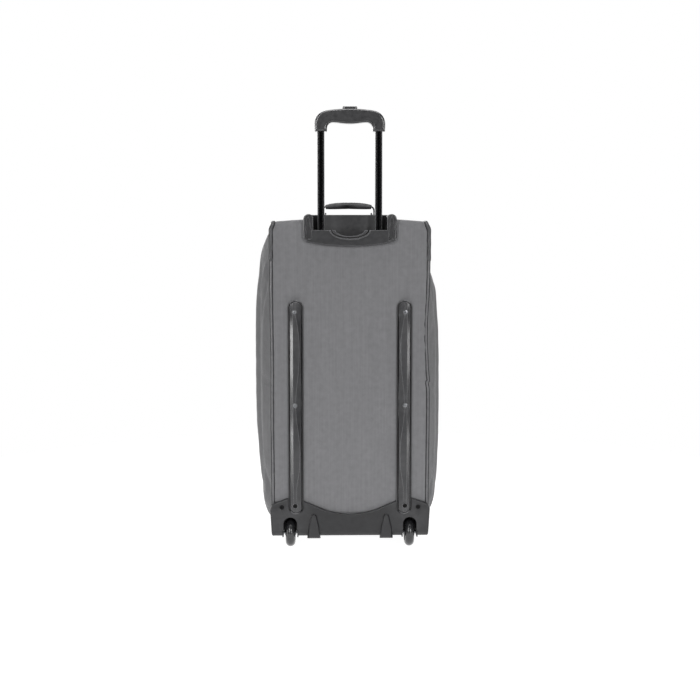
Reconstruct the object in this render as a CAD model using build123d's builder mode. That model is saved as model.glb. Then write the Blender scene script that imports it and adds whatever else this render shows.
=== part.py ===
"""A two-wheeled rolling duffel bag standing upright, in millimetres.

The trolley side faces -Y, +X is to the right as that side is looked at, +Z is up and the floor is z = 0.
The origin is on the floor under the middle of the bag. The trolley handle is stored part way out.
"""

import os

from build123d import *

os.makedirs("parts", exist_ok=True)

SIDES = {"left": -1, "right": 1}

# Soft body
BODY_BACK, BODY_FRONT = -166.0, 146.0
BODY_BOTTOM, BODY_TOP = 43.0, 692.0
SHOULDER_Z = 685.0
BULGE_HALF = 200.0
BACK_HALF = 163.0
WALL = 4.0
PANEL_HALF = 158.5
BOTTOM_SEAM_Z, TOP_SEAM_Z = 74.0, 662.0
SEAM_Y = -140.0
CORNER_RADII = (12.0, 30.0, 40.0, 16.0)
PIPING_R, SLEEVE_R = 3.2, 4.4
PIPING_X, PIPING_INSET, GROOVE = 163.0, 3.0, 7.5
GUARD_BOTTOM, GUARD_FRONT = 602.0, -95.0

# Moulded base, wheel wells and wheels
BASE_REAR, BASE_BOTTOM, BASE_HALF = -174.0, 25.0, 168.0
BASE_WALL, BASE_FLOOR, BASE_WING_Y, BASE_FRONT, BASE_INNER = 3.0, 40.0, -141.0, -65.0, 161.0
BASE_ROLL, BASE_TAPER = 14.0, 3.5
RIB_X, RIB_TOP, RIB_BOTTOM = 76.0, 75.0, 22.0
WHEEL_X, AXLE_Y, WHEEL_R, WHEEL_WIDTH = 125.5, -148.0, 29.5, 20.0
HUB_R, BUSH_R, AXLE_R, BUSH_CLEARANCE = 19.0, 6.0, 3.0, 0.05
WELL_HALF, WELL_TOP, WELL_WALL, WELL_FRONT, WELL_FOOT = 14.35, 67.0, 2.5, -112.0, 24.0
FOOT_X, FOOT_Y = 100.0, 92.0

# Skid rails and their screws
RAIL_X, RAIL_HALF, RAIL_BOTTOM, RAIL_TOP = 113.0, 16.0, 74.0, 523.0
RAIL_LIP, RAIL_GROOVE, RAIL_GROOVE_FLOOR = 2.0, 1.8, 1.0
RAIL_RIDGE_X = 2.0  # how far the ridge and the screws stand outward of the rail's middle
RAIL_SCREW_X = RAIL_X + RAIL_RIDGE_X
RAIL_SCREWS_Z = (91.5, 303.5, 498.0)
RAIL_SEAT_Y, SCREW_END, BOARD_Y = -174.0, -157.5, -159.0
CORNER_SCREW_X, CORNER_SCREW_Z = 143.0, 88.5
SHANK_R, HEAD_R, HEAD_HEIGHT = 2.0, 4.4, 2.4

# Telescopic handle
TUBE_X, TUBE_Y = 59.7, -146.0
INNER_TUBE, OUTER_TUBE = (14.6, 19.0), (18.0, 22.4)
TUBE_WALL = 1.2
OUTER_TUBE_Z, INNER_TUBE_Z = (70.0, 640.0), (440.0, 880.0)
GRIP_DEPTH, GRIP_HOLLOW, GRIP_EDGE = 27.0, 18.0, 5.0
BUTTON_HALF, BUTTON_TOP = 15.3, 920.0
CROSSBAR_Z, CROSSBAR_HALF = 899.0, 62.0
ROD_R, ROD_BOTTOM = 2.0, 463.0
GRIP_SCREW_X, GRIP_SCREW_Z = 32.0, 908.3
SPRING_R, SPRING_WIRE_R, SPRING_PITCH, SPRING_HEIGHT, SPRING_FOOT = 3.2, 0.4, 2.4, 9.0, 889.4
LINING, LINING_Y = 2.0, -130.0
LOCK_Z, LOCK_PIN_R = 455.0, 2.5

# Handle bezel
BEZEL_HALF, BEZEL_REAR, BEZEL_FRONT = 96.0, -176.0, -112.0
RECESS_HALF, RECESS_REAR, RECESS_FRONT, RECESS_FLOOR = 76.0, -170.0, -122.0, 643.0
RIM_Z, CHEEK_Z, HORN_Z, HORN_X = 667.0, 688.0, 700.0, 85.5
SCOOP_HALF, SCOOP_BOTTOM, SCOOP_OPENING = 40.0, 649.5, 30.0
SCOOP_BEAD, SCOOP_GROOVE, SCOOP_LIP = 2.4, 3.6, 1.8
COLLAR_TOP = 644.5
BEZEL_SCREWS = [(30.0, -160.0), (30.0, -132.0)]

# Carry handle on top
CARRY_PIN_Z, CARRY_GRIP_Z, CARRY_LUG_X, CARRY_PIN_R = 699.0, 718.5, 56.0, 2.0
CARRY_WIDTH, CARRY_GRIP_HALF = 22.0, 50.0

# Main flap, its zip and the outside pockets: half width, bottom, top and depth of each pocket
FLAP_HALF, FLAP_BOTTOM, FLAP_TOP, FLAP_CORNER = 138.0, 80.0, 640.0, 55.0
ZIP_GAP, TAPE_WIDTH, TAPE = 1.0, 9.0, 1.5
POCKETS = {"lower": (118.0, 100.0, 352.0, 22.0), "upper": (104.0, 392.0, 596.0, 18.0)}
POCKET_ZIP_DROP = 24.0
BAR_HEIGHT, TAB_LENGTH = 7.0, 36.0


def rear_plane(y):
    """A plane at y facing the rear: sketch x is X, sketch y is Z, and a positive extrusion goes to -Y."""
    return Plane.XZ.offset(-y)


def save(builder, name):
    builder.part.label = name
    export_step(builder.part, f"parts/{name}.step")


def block(low, high, mode=Mode.ADD):
    """A box between two corners."""
    with Locations(tuple((a + b) / 2 for a, b in zip(low, high))):
        Box(*[b - a for a, b in zip(low, high)], mode=mode)


def round_bar(x, y, z, radius, length, along, mode=Mode.ADD):
    """A cylinder centred on a point, lying along X, Y or Z."""
    turn = {"X": (0, 90, 0), "Y": (90, 0, 0), "Z": (0, 0, 0)}[along]
    with Locations(Location((x, y, z), turn)):
        Cylinder(radius, length, mode=mode)


# ---------------------------------------------------------------- soft body


def stuffed_bag(inset):
    """The filled bag as one solid, pulled in by inset all round: three outlines crossed."""
    half = BULGE_HALF - inset
    edge = BACK_HALF - inset
    bottom, top = BODY_BOTTOM + inset, BODY_TOP - inset
    back, front = BODY_BACK + inset, BODY_FRONT - inset
    shoulder = (168 - inset, SHOULDER_Z - inset)
    foot = (158 - inset, bottom)
    with BuildPart() as bag:
        with BuildSketch(rear_plane(BODY_FRONT + 10)):
            with BuildLine():
                ThreePointArc((0, top), (84, top - 1.8), shoulder)
                Spline(shoulder, (181 - inset, 630), (195 - inset, 513), (half, 341),
                       (196 - inset, 152), (186 - inset, 82), foot)
                Line(foot, (0, bottom))
                mirror(about=Plane.YZ)
            make_face()
        extrude(amount=340)
        with BuildSketch(Plane.XY):
            with BuildLine():
                Polyline((0, back), (edge, back), (edge, SEAM_Y))
                Spline((edge, SEAM_Y), (186 - inset, -95), (198.5 - inset, -25), (half, 10),
                       (197 - inset, 50), (184 - inset, 108), (edge, front))
                Line((edge, front), (0, front))
                mirror(about=Plane.YZ)
            make_face()
        extrude(amount=720, mode=Mode.INTERSECT)
        with BuildSketch(Plane.YZ.offset(-210)):
            with BuildLine():
                FilletPolyline((back, bottom), (front, bottom), (front, top), (back, top),
                               radius=CORNER_RADII, close=True)
            make_face()
        extrude(amount=420, mode=Mode.INTERSECT)
    return bag.part


def bezel_outline():
    """The bezel as the rear shows it: bowed bottom edge, straight cheeks and a round horn over each."""
    with BuildSketch() as outline:
        with BuildLine():
            ThreePointArc((0, 634), (43, 636), (84, 642))
            ThreePointArc((84, 642), (92.5, 646), (BEZEL_HALF, 655))
            Line((BEZEL_HALF, 655), (BEZEL_HALF, CHEEK_Z))
            ThreePointArc((BEZEL_HALF, CHEEK_Z), (HORN_X, HORN_Z), (RECESS_HALF - 1, CHEEK_Z))
            Line((RECESS_HALF - 1, CHEEK_Z), (0, CHEEK_Z))
            mirror(about=Plane.YZ)
        make_face()
    return outline.sketch


def flap_outline(grow=0.0):
    """The main opening: straight bottom and sides, round top corners."""
    height = FLAP_TOP - FLAP_BOTTOM + 2 * grow
    with BuildSketch() as outline:
        with Locations((0, (FLAP_TOP + FLAP_BOTTOM) / 2)):
            Rectangle(2 * (FLAP_HALF + grow), height)
        fillet(outline.vertices().group_by(Axis.Y)[-1], FLAP_CORNER + grow)
    return outline.sketch


def seam_line(inset):
    """The side seam seen from the side, pulled in by inset: corners, then their radii."""
    low_y, high_y = BODY_BACK + inset, BODY_FRONT - inset
    low_z, high_z = BODY_BOTTOM + inset, SHOULDER_Z - inset
    corners = [(low_y, low_z), (high_y, low_z), (high_y, high_z), (low_y, high_z)]
    return corners, [radius - inset for radius in CORNER_RADII]


def piping_loop(x, radius):
    """A tube round one side seam of the bag."""
    corners, radii = seam_line(PIPING_INSET)
    with BuildPart() as loop:
        with BuildLine(Plane.YZ.offset(x)) as path:
            FilletPolyline(*corners, radius=radii, close=True)
        with BuildSketch(Plane.XY.offset(300)):
            with Locations((x, corners[0][0])):
                Circle(radius)
        sweep(path=path.line)
    return loop.part


filled, lining_face = stuffed_bag(0), stuffed_bag(WALL)
left_loop, left_sleeve = piping_loop(-PIPING_X, PIPING_R), piping_loop(-PIPING_X, SLEEVE_R)

# The rigid pieces' places in the fabric
with BuildPart() as rigid_places:
    for sign in SIDES.values():
        well = WELL_HALF + WELL_WALL
        block((sign * WHEEL_X - well, BASE_REAR, 20),
              (sign * WHEEL_X + well, WELL_FRONT + WELL_WALL, WELL_TOP + WELL_WALL))
        block((sign * (BASE_INNER + 10) - 10, BASE_REAR, 20),
              (sign * (BASE_INNER + 10) + 10, BASE_WING_Y, CORNER_SCREW_Z))
        for z in RAIL_SCREWS_Z:
            round_bar(sign * RAIL_SCREW_X, BODY_BACK, z, SHANK_R, 30, "Y")
        round_bar(sign * CORNER_SCREW_X, BODY_BACK, CORNER_SCREW_Z, SHANK_R, 30, "Y")
    with BuildSketch(rear_plane(BEZEL_FRONT)):
        add(bezel_outline())
        with Locations((0, CHEEK_Z)):
            Rectangle(2 * BEZEL_HALF, 40, align=(Align.CENTER, Align.MIN))
    extrude(amount=70)

with BuildPart() as fabric:
    add(filled)
    add(lining_face, mode=Mode.SUBTRACT)
    add(rigid_places.part, mode=Mode.SUBTRACT)
    with BuildSketch(rear_plane(BODY_FRONT + 5)):
        add(flap_outline(ZIP_GAP))
    extrude(amount=20, mode=Mode.SUBTRACT)

ring_low, ring_high = (-PANEL_HALF, -170, 40), (PANEL_HALF, 150, 700)
FABRIC_PIECES = {
    "bottom_panel": (ring_low, (PANEL_HALF, 150, BOTTOM_SEAM_Z)),
    "top_panel": ((-PANEL_HALF, -170, TOP_SEAM_Z), ring_high),
    "back_panel": ((-PANEL_HALF, -170, BOTTOM_SEAM_Z), (PANEL_HALF, 0, TOP_SEAM_Z)),
    "front_frame": ((-PANEL_HALF, 0, BOTTOM_SEAM_Z), (PANEL_HALF, 150, TOP_SEAM_Z)),
}
for name, (low, high) in FABRIC_PIECES.items():
    with BuildPart() as panel:
        add(fabric.part)
        block(low, high, mode=Mode.INTERSECT)
    save(panel, name)


def save_both_sides(left, name):
    """Writes a left-hand piece and its mirror image."""
    save(left, f"{name}_left")
    with BuildPart() as right:
        mirror(left.part, about=Plane.YZ)
    save(right, f"{name}_right")


with BuildPart() as left_guard_room:
    add(left_sleeve)
    block((-200, -200, GUARD_BOTTOM), (0, GUARD_FRONT, 720), mode=Mode.INTERSECT)
with BuildPart() as side_panel:
    add(fabric.part)
    with BuildSketch(Plane.YZ.offset(-210)):
        with BuildLine():
            corners, radii = seam_line(GROOVE)
            FilletPolyline(*corners, radius=radii, close=True)
        make_face()
    extrude(amount=210 - PANEL_HALF, mode=Mode.INTERSECT)
save_both_sides(side_panel, "side_panel")

# The moulded base covers the lowest stretch of the piping
with BuildPart() as piping:
    add(left_loop)
    block((-200, -190, 20), (0, BASE_WING_Y, 96), mode=Mode.SUBTRACT)
    block((-200, -190, 20), (0, BASE_FRONT + 1, BODY_BOTTOM), mode=Mode.SUBTRACT)
save_both_sides(piping, "piping")

with BuildPart() as corner_guards:
    add(left_guard_room.part)
    add(left_loop, mode=Mode.SUBTRACT)
    mirror(about=Plane.YZ)
save(corner_guards, "corner_guards")

# ---------------------------------------------------------------- moulded base


def base_outline(inset=0.0):
    """The base as the rear shows it, pulled in by inset: a wave along the top, slightly tapered sides."""
    wave = [(0, 73), (25, 75.3), (50, 81.7), (74, 91.5), (94, 100), (128, 107.5), (148, 101)]
    shoulder = (BASE_HALF - inset, 84 - inset)
    bottom = BASE_BOTTOM + inset
    with BuildSketch() as outline:
        with BuildLine():
            Spline(*[(x, z - inset) for x, z in wave], shoulder, tangents=[(1, 0), (0.25, -1)])
            Polyline(shoulder, (BASE_HALF - BASE_TAPER - inset, bottom), (0, bottom))
            mirror(about=Plane.YZ)
        make_face()
    return outline.sketch


def well_opening():
    """A wheel opening about its own middle: an arch that flares just above the bottom edge."""
    spring = WELL_TOP - WELL_HALF
    with BuildSketch() as outline:
        with BuildLine():
            Polyline((0, 15), (WELL_HALF - 0.5, 15), (WELL_HALF - 0.5, 27), (WELL_HALF + 3, 36),
                     (WELL_HALF, 42), (WELL_HALF, spring))
            CenterArc((0, spring), WELL_HALF, 0, 90)
            mirror(about=Plane.YZ)
        make_face()
    return outline.sketch


def well_arch(grow):
    """The tunnel behind a wheel opening: straight sides under a round arch."""
    half = WELL_HALF + grow
    spring = WELL_TOP - WELL_HALF
    with Locations((0, spring)):
        Rectangle(2 * half, spring - WELL_FOOT, align=(Align.CENTER, Align.MAX))
        Circle(half)


def rail_outline(grow=0.0):
    """One rail's outline about x = 0: a long slot shape."""
    length = RAIL_TOP - RAIL_BOTTOM + 2 * grow
    with Locations((0, (RAIL_TOP + RAIL_BOTTOM) / 2)):
        SlotOverall(length, 2 * (RAIL_HALF + grow), rotation=90)


with BuildPart() as base_housing:
    with BuildSketch(rear_plane(BODY_BACK)):
        add(base_outline())
    extrude(amount=BODY_BACK - BASE_REAR)
    with BuildSketch(rear_plane(BASE_WING_Y)):
        add(base_outline())
        with Locations((0, CORNER_SCREW_Z)):
            Rectangle(400, 100, align=(Align.CENTER, Align.MIN), mode=Mode.SUBTRACT)
    extrude(amount=BASE_WING_Y - BODY_BACK)
    rear_edges = base_housing.faces().sort_by(Axis.Y)[0].edges().sort_by(Axis.Z)
    fillet(rear_edges[0], BASE_ROLL)
    fillet(base_housing.faces().sort_by(Axis.Y)[0].edges().sort_by(Axis.Z)[1:], 3.5)
    # hollow it from the front, then add the floor
    with BuildPart(mode=Mode.SUBTRACT) as hollow:
        with BuildSketch(rear_plane(0)):
            add(base_outline(BASE_WALL))
        extrude(amount=-BASE_REAR - BASE_WALL)
        fillet(hollow.faces().sort_by(Axis.Y)[0].edges().sort_by(Axis.Z)[0], BASE_ROLL - BASE_WALL)
    block((-BASE_INNER, BODY_BACK, 20), (BASE_INNER, 0, 120), mode=Mode.SUBTRACT)
    block((-BASE_HALF + 4, BASE_REAR + 2, BASE_FLOOR), (BASE_HALF - 4, BASE_FRONT, BODY_BOTTOM))
    for sign in SIDES.values():
        with BuildSketch(rear_plane(BASE_REAR + 2)):
            with Locations((sign * RIB_X, 0)):
                Polygon((-14, RIB_BOTTOM), (14, RIB_BOTTOM), (12.5, 46), (7, RIB_TOP - 5), (4, RIB_TOP),
                        (-4, RIB_TOP), (-7, RIB_TOP - 5), (-12.5, 46), align=None)
        extrude(amount=6, taper=28)
        block((sign * RIB_X - 12.5, BASE_REAR + 1, RIB_BOTTOM), (sign * RIB_X + 12.5, -120, BASE_FLOOR))
        with BuildSketch(rear_plane(BASE_REAR + 4)):
            with Locations((sign * WHEEL_X, 0)):
                add(well_opening())
        extrude(amount=10, mode=Mode.SUBTRACT)
        block((sign * WHEEL_X - WELL_HALF - WELL_WALL, BASE_REAR + BASE_WALL, 20),
              (sign * WHEEL_X + WELL_HALF + WELL_WALL, WELL_FRONT + WELL_WALL, WELL_TOP + 3),
              mode=Mode.SUBTRACT)
        with BuildSketch(rear_plane(BODY_BACK)):
            with Locations((sign * RAIL_X, 0)):
                rail_outline(0.3)
        extrude(amount=20, mode=Mode.SUBTRACT)
        round_bar(sign * CORNER_SCREW_X, BASE_REAR, CORNER_SCREW_Z, SHANK_R, 30, "Y", mode=Mode.SUBTRACT)
        round_bar(sign * CORNER_SCREW_X, BASE_REAR, CORNER_SCREW_Z, HEAD_R + 0.3, 3, "Y", mode=Mode.SUBTRACT)
save(base_housing, "base_housing")

for side, sign in SIDES.items():
    with BuildPart() as wheel_well:
        with BuildSketch(rear_plane(WELL_FRONT + WELL_WALL)):
            with Locations((sign * WHEEL_X, 0)):
                well_arch(WELL_WALL)
        extrude(amount=WELL_FRONT + WELL_WALL - BASE_REAR - BASE_WALL)
        with BuildSketch(rear_plane(WELL_FRONT)):
            with Locations((sign * WHEEL_X, 0)):
                well_arch(0)
        extrude(amount=80, mode=Mode.SUBTRACT)
        round_bar(sign * WHEEL_X, AXLE_Y, WHEEL_R, AXLE_R, 60, "X", mode=Mode.SUBTRACT)
    save(wheel_well, f"wheel_well_{side}")

with BuildPart() as axles:
    for sign in SIDES.values():
        round_bar(sign * WHEEL_X, AXLE_Y, WHEEL_R, AXLE_R, 2 * (WELL_HALF + WELL_WALL) + 2, "X")
        for end in SIDES.values():
            round_bar(sign * WHEEL_X + end * (WELL_HALF + WELL_WALL + 1), AXLE_Y, WHEEL_R, 4.5, 2, "X")
save(axles, "axles")

for side, sign in SIDES.items():
    wheel_plane = Plane(origin=(sign * WHEEL_X, AXLE_Y, WHEEL_R), x_dir=(1, 0, 0), z_dir=(0, -1, 0))
    wheel_axis = Axis((0, AXLE_Y, WHEEL_R), (1, 0, 0))
    half = WHEEL_WIDTH / 2
    with BuildPart() as tyre:
        with BuildSketch(wheel_plane):
            with BuildLine():
                Polyline((0, HUB_R), (half - 1.5, HUB_R), (half, HUB_R + 1.5))
                ThreePointArc((half, HUB_R + 1.5), (half * 0.72, WHEEL_R - 2.9), (0, WHEEL_R))
                mirror(about=Plane.YZ)
            make_face()
        revolve(axis=wheel_axis)
    save(tyre, f"tyre_{side}")
    with BuildPart() as hub:
        with BuildSketch(wheel_plane):
            with BuildLine():
                Polyline((0, BUSH_R), (half - 0.5, BUSH_R), (half - 0.5, BUSH_R + 3), (half - 4, BUSH_R + 4),
                         (half - 4, HUB_R - 3.5), (half - 1.5, HUB_R - 2), (half - 1.5, HUB_R), (0, HUB_R))
                mirror(about=Plane.YZ)
            make_face()
        revolve(axis=wheel_axis)
    save(hub, f"hub_{side}")
    with BuildPart() as bush:
        round_bar(sign * WHEEL_X, AXLE_Y, WHEEL_R, BUSH_R, WHEEL_WIDTH + 4, "X")
        round_bar(sign * WHEEL_X, AXLE_Y, WHEEL_R, AXLE_R + BUSH_CLEARANCE, 60, "X", mode=Mode.SUBTRACT)
    save(bush, f"bush_{side}")

with BuildPart() as front_feet:
    for sign in SIDES.values():
        with BuildSketch(Plane.XY.offset(BODY_BOTTOM)):
            with Locations((sign * FOOT_X, FOOT_Y)):
                RectangleRounded(34, 30, 8)
        extrude(amount=-BODY_BOTTOM, taper=6)
    fillet(front_feet.edges().group_by(Axis.Z)[0], 3)
save(front_feet, "front_feet")

# ---------------------------------------------------------------- skid rails


# z, crest's inner edge, inner shoulder height and full height of the left rail: the ridge is pinched on its
# inner side at each screw and broad between them
RAIL_SECTIONS = [
    (RAIL_BOTTOM, 0.4, 1.5, 9.0), (120, 1.0, 2.0, 11.0), (160, 6.0, 6.5, 13.5), (241, 6.0, 6.5, 13.5),
    (280, 1.0, 2.0, 12.0), (327, 1.0, 2.0, 12.0), (377, 6.0, 6.5, 13.5), (455, 6.0, 6.5, 13.5),
    (490, 1.0, 2.0, 11.0), (RAIL_TOP, 0.4, 1.5, 8.0),
]
FLANGE, RIDGE_FOOT, RIDGE_OUTER, OUTER_SHOULDER = 3.6, 12.2, -5.6, 4.0
with BuildPart() as rail:
    for z, crest, shoulder, height in RAIL_SECTIONS:
        with BuildSketch(Plane.XY.offset(z)):
            Polygon(*[(x, BODY_BACK - rise) for x, rise in (
                (-RAIL_HALF, 0), (-RAIL_HALF, FLANGE), (-RIDGE_FOOT, FLANGE),
                (0.8 - RIDGE_FOOT, FLANGE + OUTER_SHOULDER), (RIDGE_OUTER, height), (crest, height),
                (RIDGE_FOOT - 1.6, FLANGE + shoulder), (RIDGE_FOOT, FLANGE), (RAIL_HALF, FLANGE), (RAIL_HALF, 0))],
                align=None)
    loft()
    with BuildSketch(rear_plane(BODY_BACK)):
        rail_outline()
    extrude(amount=20, mode=Mode.INTERSECT)
    # a groove that follows the outline, inside its raised lip
    with BuildPart(mode=Mode.SUBTRACT):
        for grow, cut in ((-RAIL_LIP, Mode.ADD), (-RAIL_LIP - RAIL_GROOVE, Mode.SUBTRACT)):
            with BuildSketch(rear_plane(BODY_BACK - RAIL_GROOVE_FLOOR)):
                rail_outline(grow)
            extrude(amount=20, mode=cut)
    for z in RAIL_SCREWS_Z:
        round_bar(-RAIL_RIDGE_X, RAIL_SEAT_Y - 10, z, HEAD_R + 0.5, 20, "Y", mode=Mode.SUBTRACT)
        round_bar(-RAIL_RIDGE_X, BODY_BACK, z, SHANK_R, 40, "Y", mode=Mode.SUBTRACT)
with BuildPart() as placed_rail:
    with Locations((-RAIL_X, 0, 0)):
        add(rail.part)
save_both_sides(placed_rail, "rail")


SCREWS = [(sign * RAIL_SCREW_X, z, RAIL_SEAT_Y) for sign in SIDES.values() for z in RAIL_SCREWS_Z]
SCREWS += [(sign * CORNER_SCREW_X, CORNER_SCREW_Z, BASE_REAR + 1.5) for sign in SIDES.values()]
with BuildPart() as back_screws:
    for x, z, seat in SCREWS:
        with BuildSketch(rear_plane(seat)):
            with Locations((x, z)):
                Circle(HEAD_R)
        extrude(amount=HEAD_HEIGHT, taper=18)
        round_bar(x, (seat + SCREW_END) / 2, z, SHANK_R, SCREW_END - seat, "Y")
save(back_screws, "back_screws")

# ---------------------------------------------------------------- inside the back

with BuildPart() as back_board:
    block((-150, BODY_BACK + WALL, BOTTOM_SEAM_Z + 2), (150, BOARD_Y, 630))
    for sign in SIDES.values():
        for z in RAIL_SCREWS_Z:
            round_bar(sign * RAIL_SCREW_X, BODY_BACK, z, SHANK_R, 40, "Y", mode=Mode.SUBTRACT)
        round_bar(sign * CORNER_SCREW_X, BODY_BACK, CORNER_SCREW_Z, SHANK_R, 40, "Y", mode=Mode.SUBTRACT)
save(back_board, "back_board")


def tube_section(size, radius, inset=0.0, mode=Mode.ADD):
    """A trolley tube's outline about x = 0, pulled in by inset."""
    with Locations((0, TUBE_Y)):
        RectangleRounded(size[0] - 2 * inset, size[1] - 2 * inset, radius - inset, mode=mode)


for side, sign in SIDES.items():
    for name, size, radius, span in (("outer_tube", OUTER_TUBE, 6.5, OUTER_TUBE_Z),
                                     ("inner_tube", INNER_TUBE, 5.5, INNER_TUBE_Z)):
        with BuildPart() as tube:
            with BuildSketch(Plane.XY.offset(span[0])):
                with Locations((sign * TUBE_X, 0)):
                    tube_section(size, radius)
                    tube_section(size, radius, TUBE_WALL, mode=Mode.SUBTRACT)
            extrude(amount=span[1] - span[0])
            if name == "inner_tube":
                round_bar(sign * (TUBE_X + 7), TUBE_Y, LOCK_Z, LOCK_PIN_R + 0.3, 8, "X", mode=Mode.SUBTRACT)
        save(tube, f"{name}_{side}")

with BuildPart() as tube_foot_bracket:
    block((-72, TUBE_Y - 12.5, BODY_BOTTOM + WALL), (72, TUBE_Y + 12.5, 78))
    block((-44, TUBE_Y - 9.5, BODY_BOTTOM + WALL + 5), (44, TUBE_Y + 20, 74), mode=Mode.SUBTRACT)
    with BuildSketch(Plane.XY.offset(OUTER_TUBE_Z[0])):
        for sign in SIDES.values():
            with Locations((sign * TUBE_X, 0)):
                tube_section(OUTER_TUBE, 6.5)
    extrude(amount=20, mode=Mode.SUBTRACT)
    add(lining_face, mode=Mode.INTERSECT)
save(tube_foot_bracket, "tube_foot_bracket")

with BuildPart() as tube_lining:
    block((-80, BOARD_Y, 82), (80, LINING_Y, 632))
    block((-80 + LINING, BOARD_Y, 80), (80 - LINING, LINING_Y - LINING, 640), mode=Mode.SUBTRACT)
save(tube_lining, "tube_lining")

# ---------------------------------------------------------------- handle bezel


def scoop_outline(grow=0.0):
    """The finger scoop in the bezel's rear wall: half an ellipse hanging from the rim, grown outward."""
    with Locations((0, RIM_Z)):
        Ellipse(SCOOP_HALF + grow, RIM_Z - SCOOP_BOTTOM + grow)


with BuildPart() as handle_bezel:
    with BuildSketch(rear_plane(BEZEL_FRONT)):
        add(bezel_outline())
    extrude(amount=BEZEL_FRONT - BEZEL_REAR)
    rear_rim = handle_bezel.faces().sort_by(Axis.Y)[0].edges()
    fillet(rear_rim, 2.5)
    # front wall, rising between the cheeks
    with BuildSketch(Plane.YZ.offset(-BEZEL_HALF + 8)):
        with BuildLine():
            Polyline((BEZEL_FRONT, RECESS_FLOOR), (BEZEL_FRONT, 696), (RECESS_FRONT + 4, 699),
                     (RECESS_FRONT - 3, 698), (RECESS_FRONT - 3, RECESS_FLOOR), close=True)
        make_face()
    extrude(amount=2 * BEZEL_HALF - 16)
    # apron that laps over the fabric in front of the bezel
    with BuildSketch(Plane.YZ.offset(-BEZEL_HALF + 4)):
        with BuildLine():
            Polyline((BEZEL_FRONT, 696), (BEZEL_FRONT, 680), (BEZEL_FRONT + 16, 680),
                     (BEZEL_FRONT + 16, 692.6), close=True)
        make_face()
    extrude(amount=2 * BEZEL_HALF - 8)
    with BuildPart(mode=Mode.PRIVATE) as fabric_under_apron:
        add(filled)
        block((-300, BEZEL_FRONT, 600), (300, 200, 720), mode=Mode.INTERSECT)
    add(fabric_under_apron.part, mode=Mode.SUBTRACT)
    # the recess that swallows the grip, and the open space under its floor
    block((-RECESS_HALF, RECESS_REAR, RECESS_FLOOR), (RECESS_HALF, RECESS_FRONT - 3, 720), mode=Mode.SUBTRACT)
    with BuildSketch(Plane.XY.offset(RECESS_FLOOR)):
        with BuildLine():
            Line((-RECESS_HALF, RECESS_FRONT - 3), (RECESS_HALF, RECESS_FRONT - 3))
            ThreePointArc((RECESS_HALF, RECESS_FRONT - 3), (0, RECESS_FRONT + 3), (-RECESS_HALF, RECESS_FRONT - 3))
        make_face()
    extrude(amount=70, mode=Mode.SUBTRACT)
    block((-BEZEL_HALF + 3, BODY_BACK, 620), (BEZEL_HALF - 3, BEZEL_FRONT - 3, RECESS_FLOOR - 3),
          mode=Mode.SUBTRACT)
    block((-RECESS_HALF, -190, RIM_Z), (RECESS_HALF, RECESS_REAR, 720), mode=Mode.SUBTRACT)
    with BuildSketch(rear_plane(BEZEL_REAR + 1)):
        scoop_outline(SCOOP_BEAD)
        with Locations((0, RIM_Z)):
            Rectangle(200, 80, align=(Align.CENTER, Align.MIN), mode=Mode.SUBTRACT)
    extrude(amount=2.5)
    # a groove inside the bead, a lip inside that, then the opening itself
    with BuildSketch(rear_plane(BEZEL_REAR + 3.5)):
        scoop_outline()
    extrude(amount=12, mode=Mode.SUBTRACT)
    with BuildSketch(rear_plane(BEZEL_REAR + 4)):
        scoop_outline(-SCOOP_GROOVE)
        with Locations((0, RIM_Z)):
            Rectangle(200, 80, align=(Align.CENTER, Align.MIN), mode=Mode.SUBTRACT)
    extrude(amount=4)
    with BuildSketch(rear_plane(RECESS_REAR + 1)):
        with Locations((0, RIM_Z)):
            Ellipse(SCOOP_OPENING, RIM_Z - SCOOP_BOTTOM - SCOOP_GROOVE - SCOOP_LIP)
    extrude(amount=12, mode=Mode.SUBTRACT)
    for sign in SIDES.values():
        # a tall tapering flute on each cheek
        with BuildSketch(rear_plane(BEZEL_REAR + 2.8)):
            with Locations((sign * (HORN_X + 0.5), 0)):
                Polygon((-6, 647), (6, 651), (4.5, 668), (0, 690), (-4, 668), align=None)
        extrude(amount=5, taper=-25, mode=Mode.SUBTRACT)
        with BuildSketch(Plane.XY.offset(RECESS_FLOOR - 5)):
            with Locations((sign * TUBE_X, TUBE_Y)):
                RectangleRounded(19, 23.4, 6)
        extrude(amount=10, mode=Mode.SUBTRACT)
        for x, y in BEZEL_SCREWS:
            round_bar(sign * x, y, RECESS_FLOOR, SHANK_R, 12, "Z", mode=Mode.SUBTRACT)
save(handle_bezel, "handle_bezel")

with BuildPart() as bezel_screws:
    for sign in SIDES.values():
        for x, y in BEZEL_SCREWS:
            with BuildSketch(Plane.XY.offset(RECESS_FLOOR)):
                with Locations((sign * x, y)):
                    Circle(3.6)
            extrude(amount=1.8, taper=20)
            round_bar(sign * x, y, RECESS_FLOOR - 5.5, SHANK_R, 11, "Z")
save(bezel_screws, "bezel_screws")

COLLAR_STEPS = [((25, 30), 8, RECESS_FLOOR, COLLAR_TOP, Mode.ADD),
                ((19, 23.4), 6, OUTER_TUBE_Z[1], RECESS_FLOOR, Mode.ADD),
                ((INNER_TUBE[0] + 0.8, INNER_TUBE[1] + 0.8), 5.9, OUTER_TUBE_Z[1] - 1, 650, Mode.SUBTRACT)]
with BuildPart() as tube_collars:
    for size, radius, low, high, mode in COLLAR_STEPS:
        with BuildSketch(Plane.XY.offset(low)):
            with Locations((-TUBE_X, 0), (TUBE_X, 0)):
                tube_section(size, radius)
        extrude(amount=high - low, mode=mode)
save(tube_collars, "tube_collars")

# ---------------------------------------------------------------- trolley handle

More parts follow.
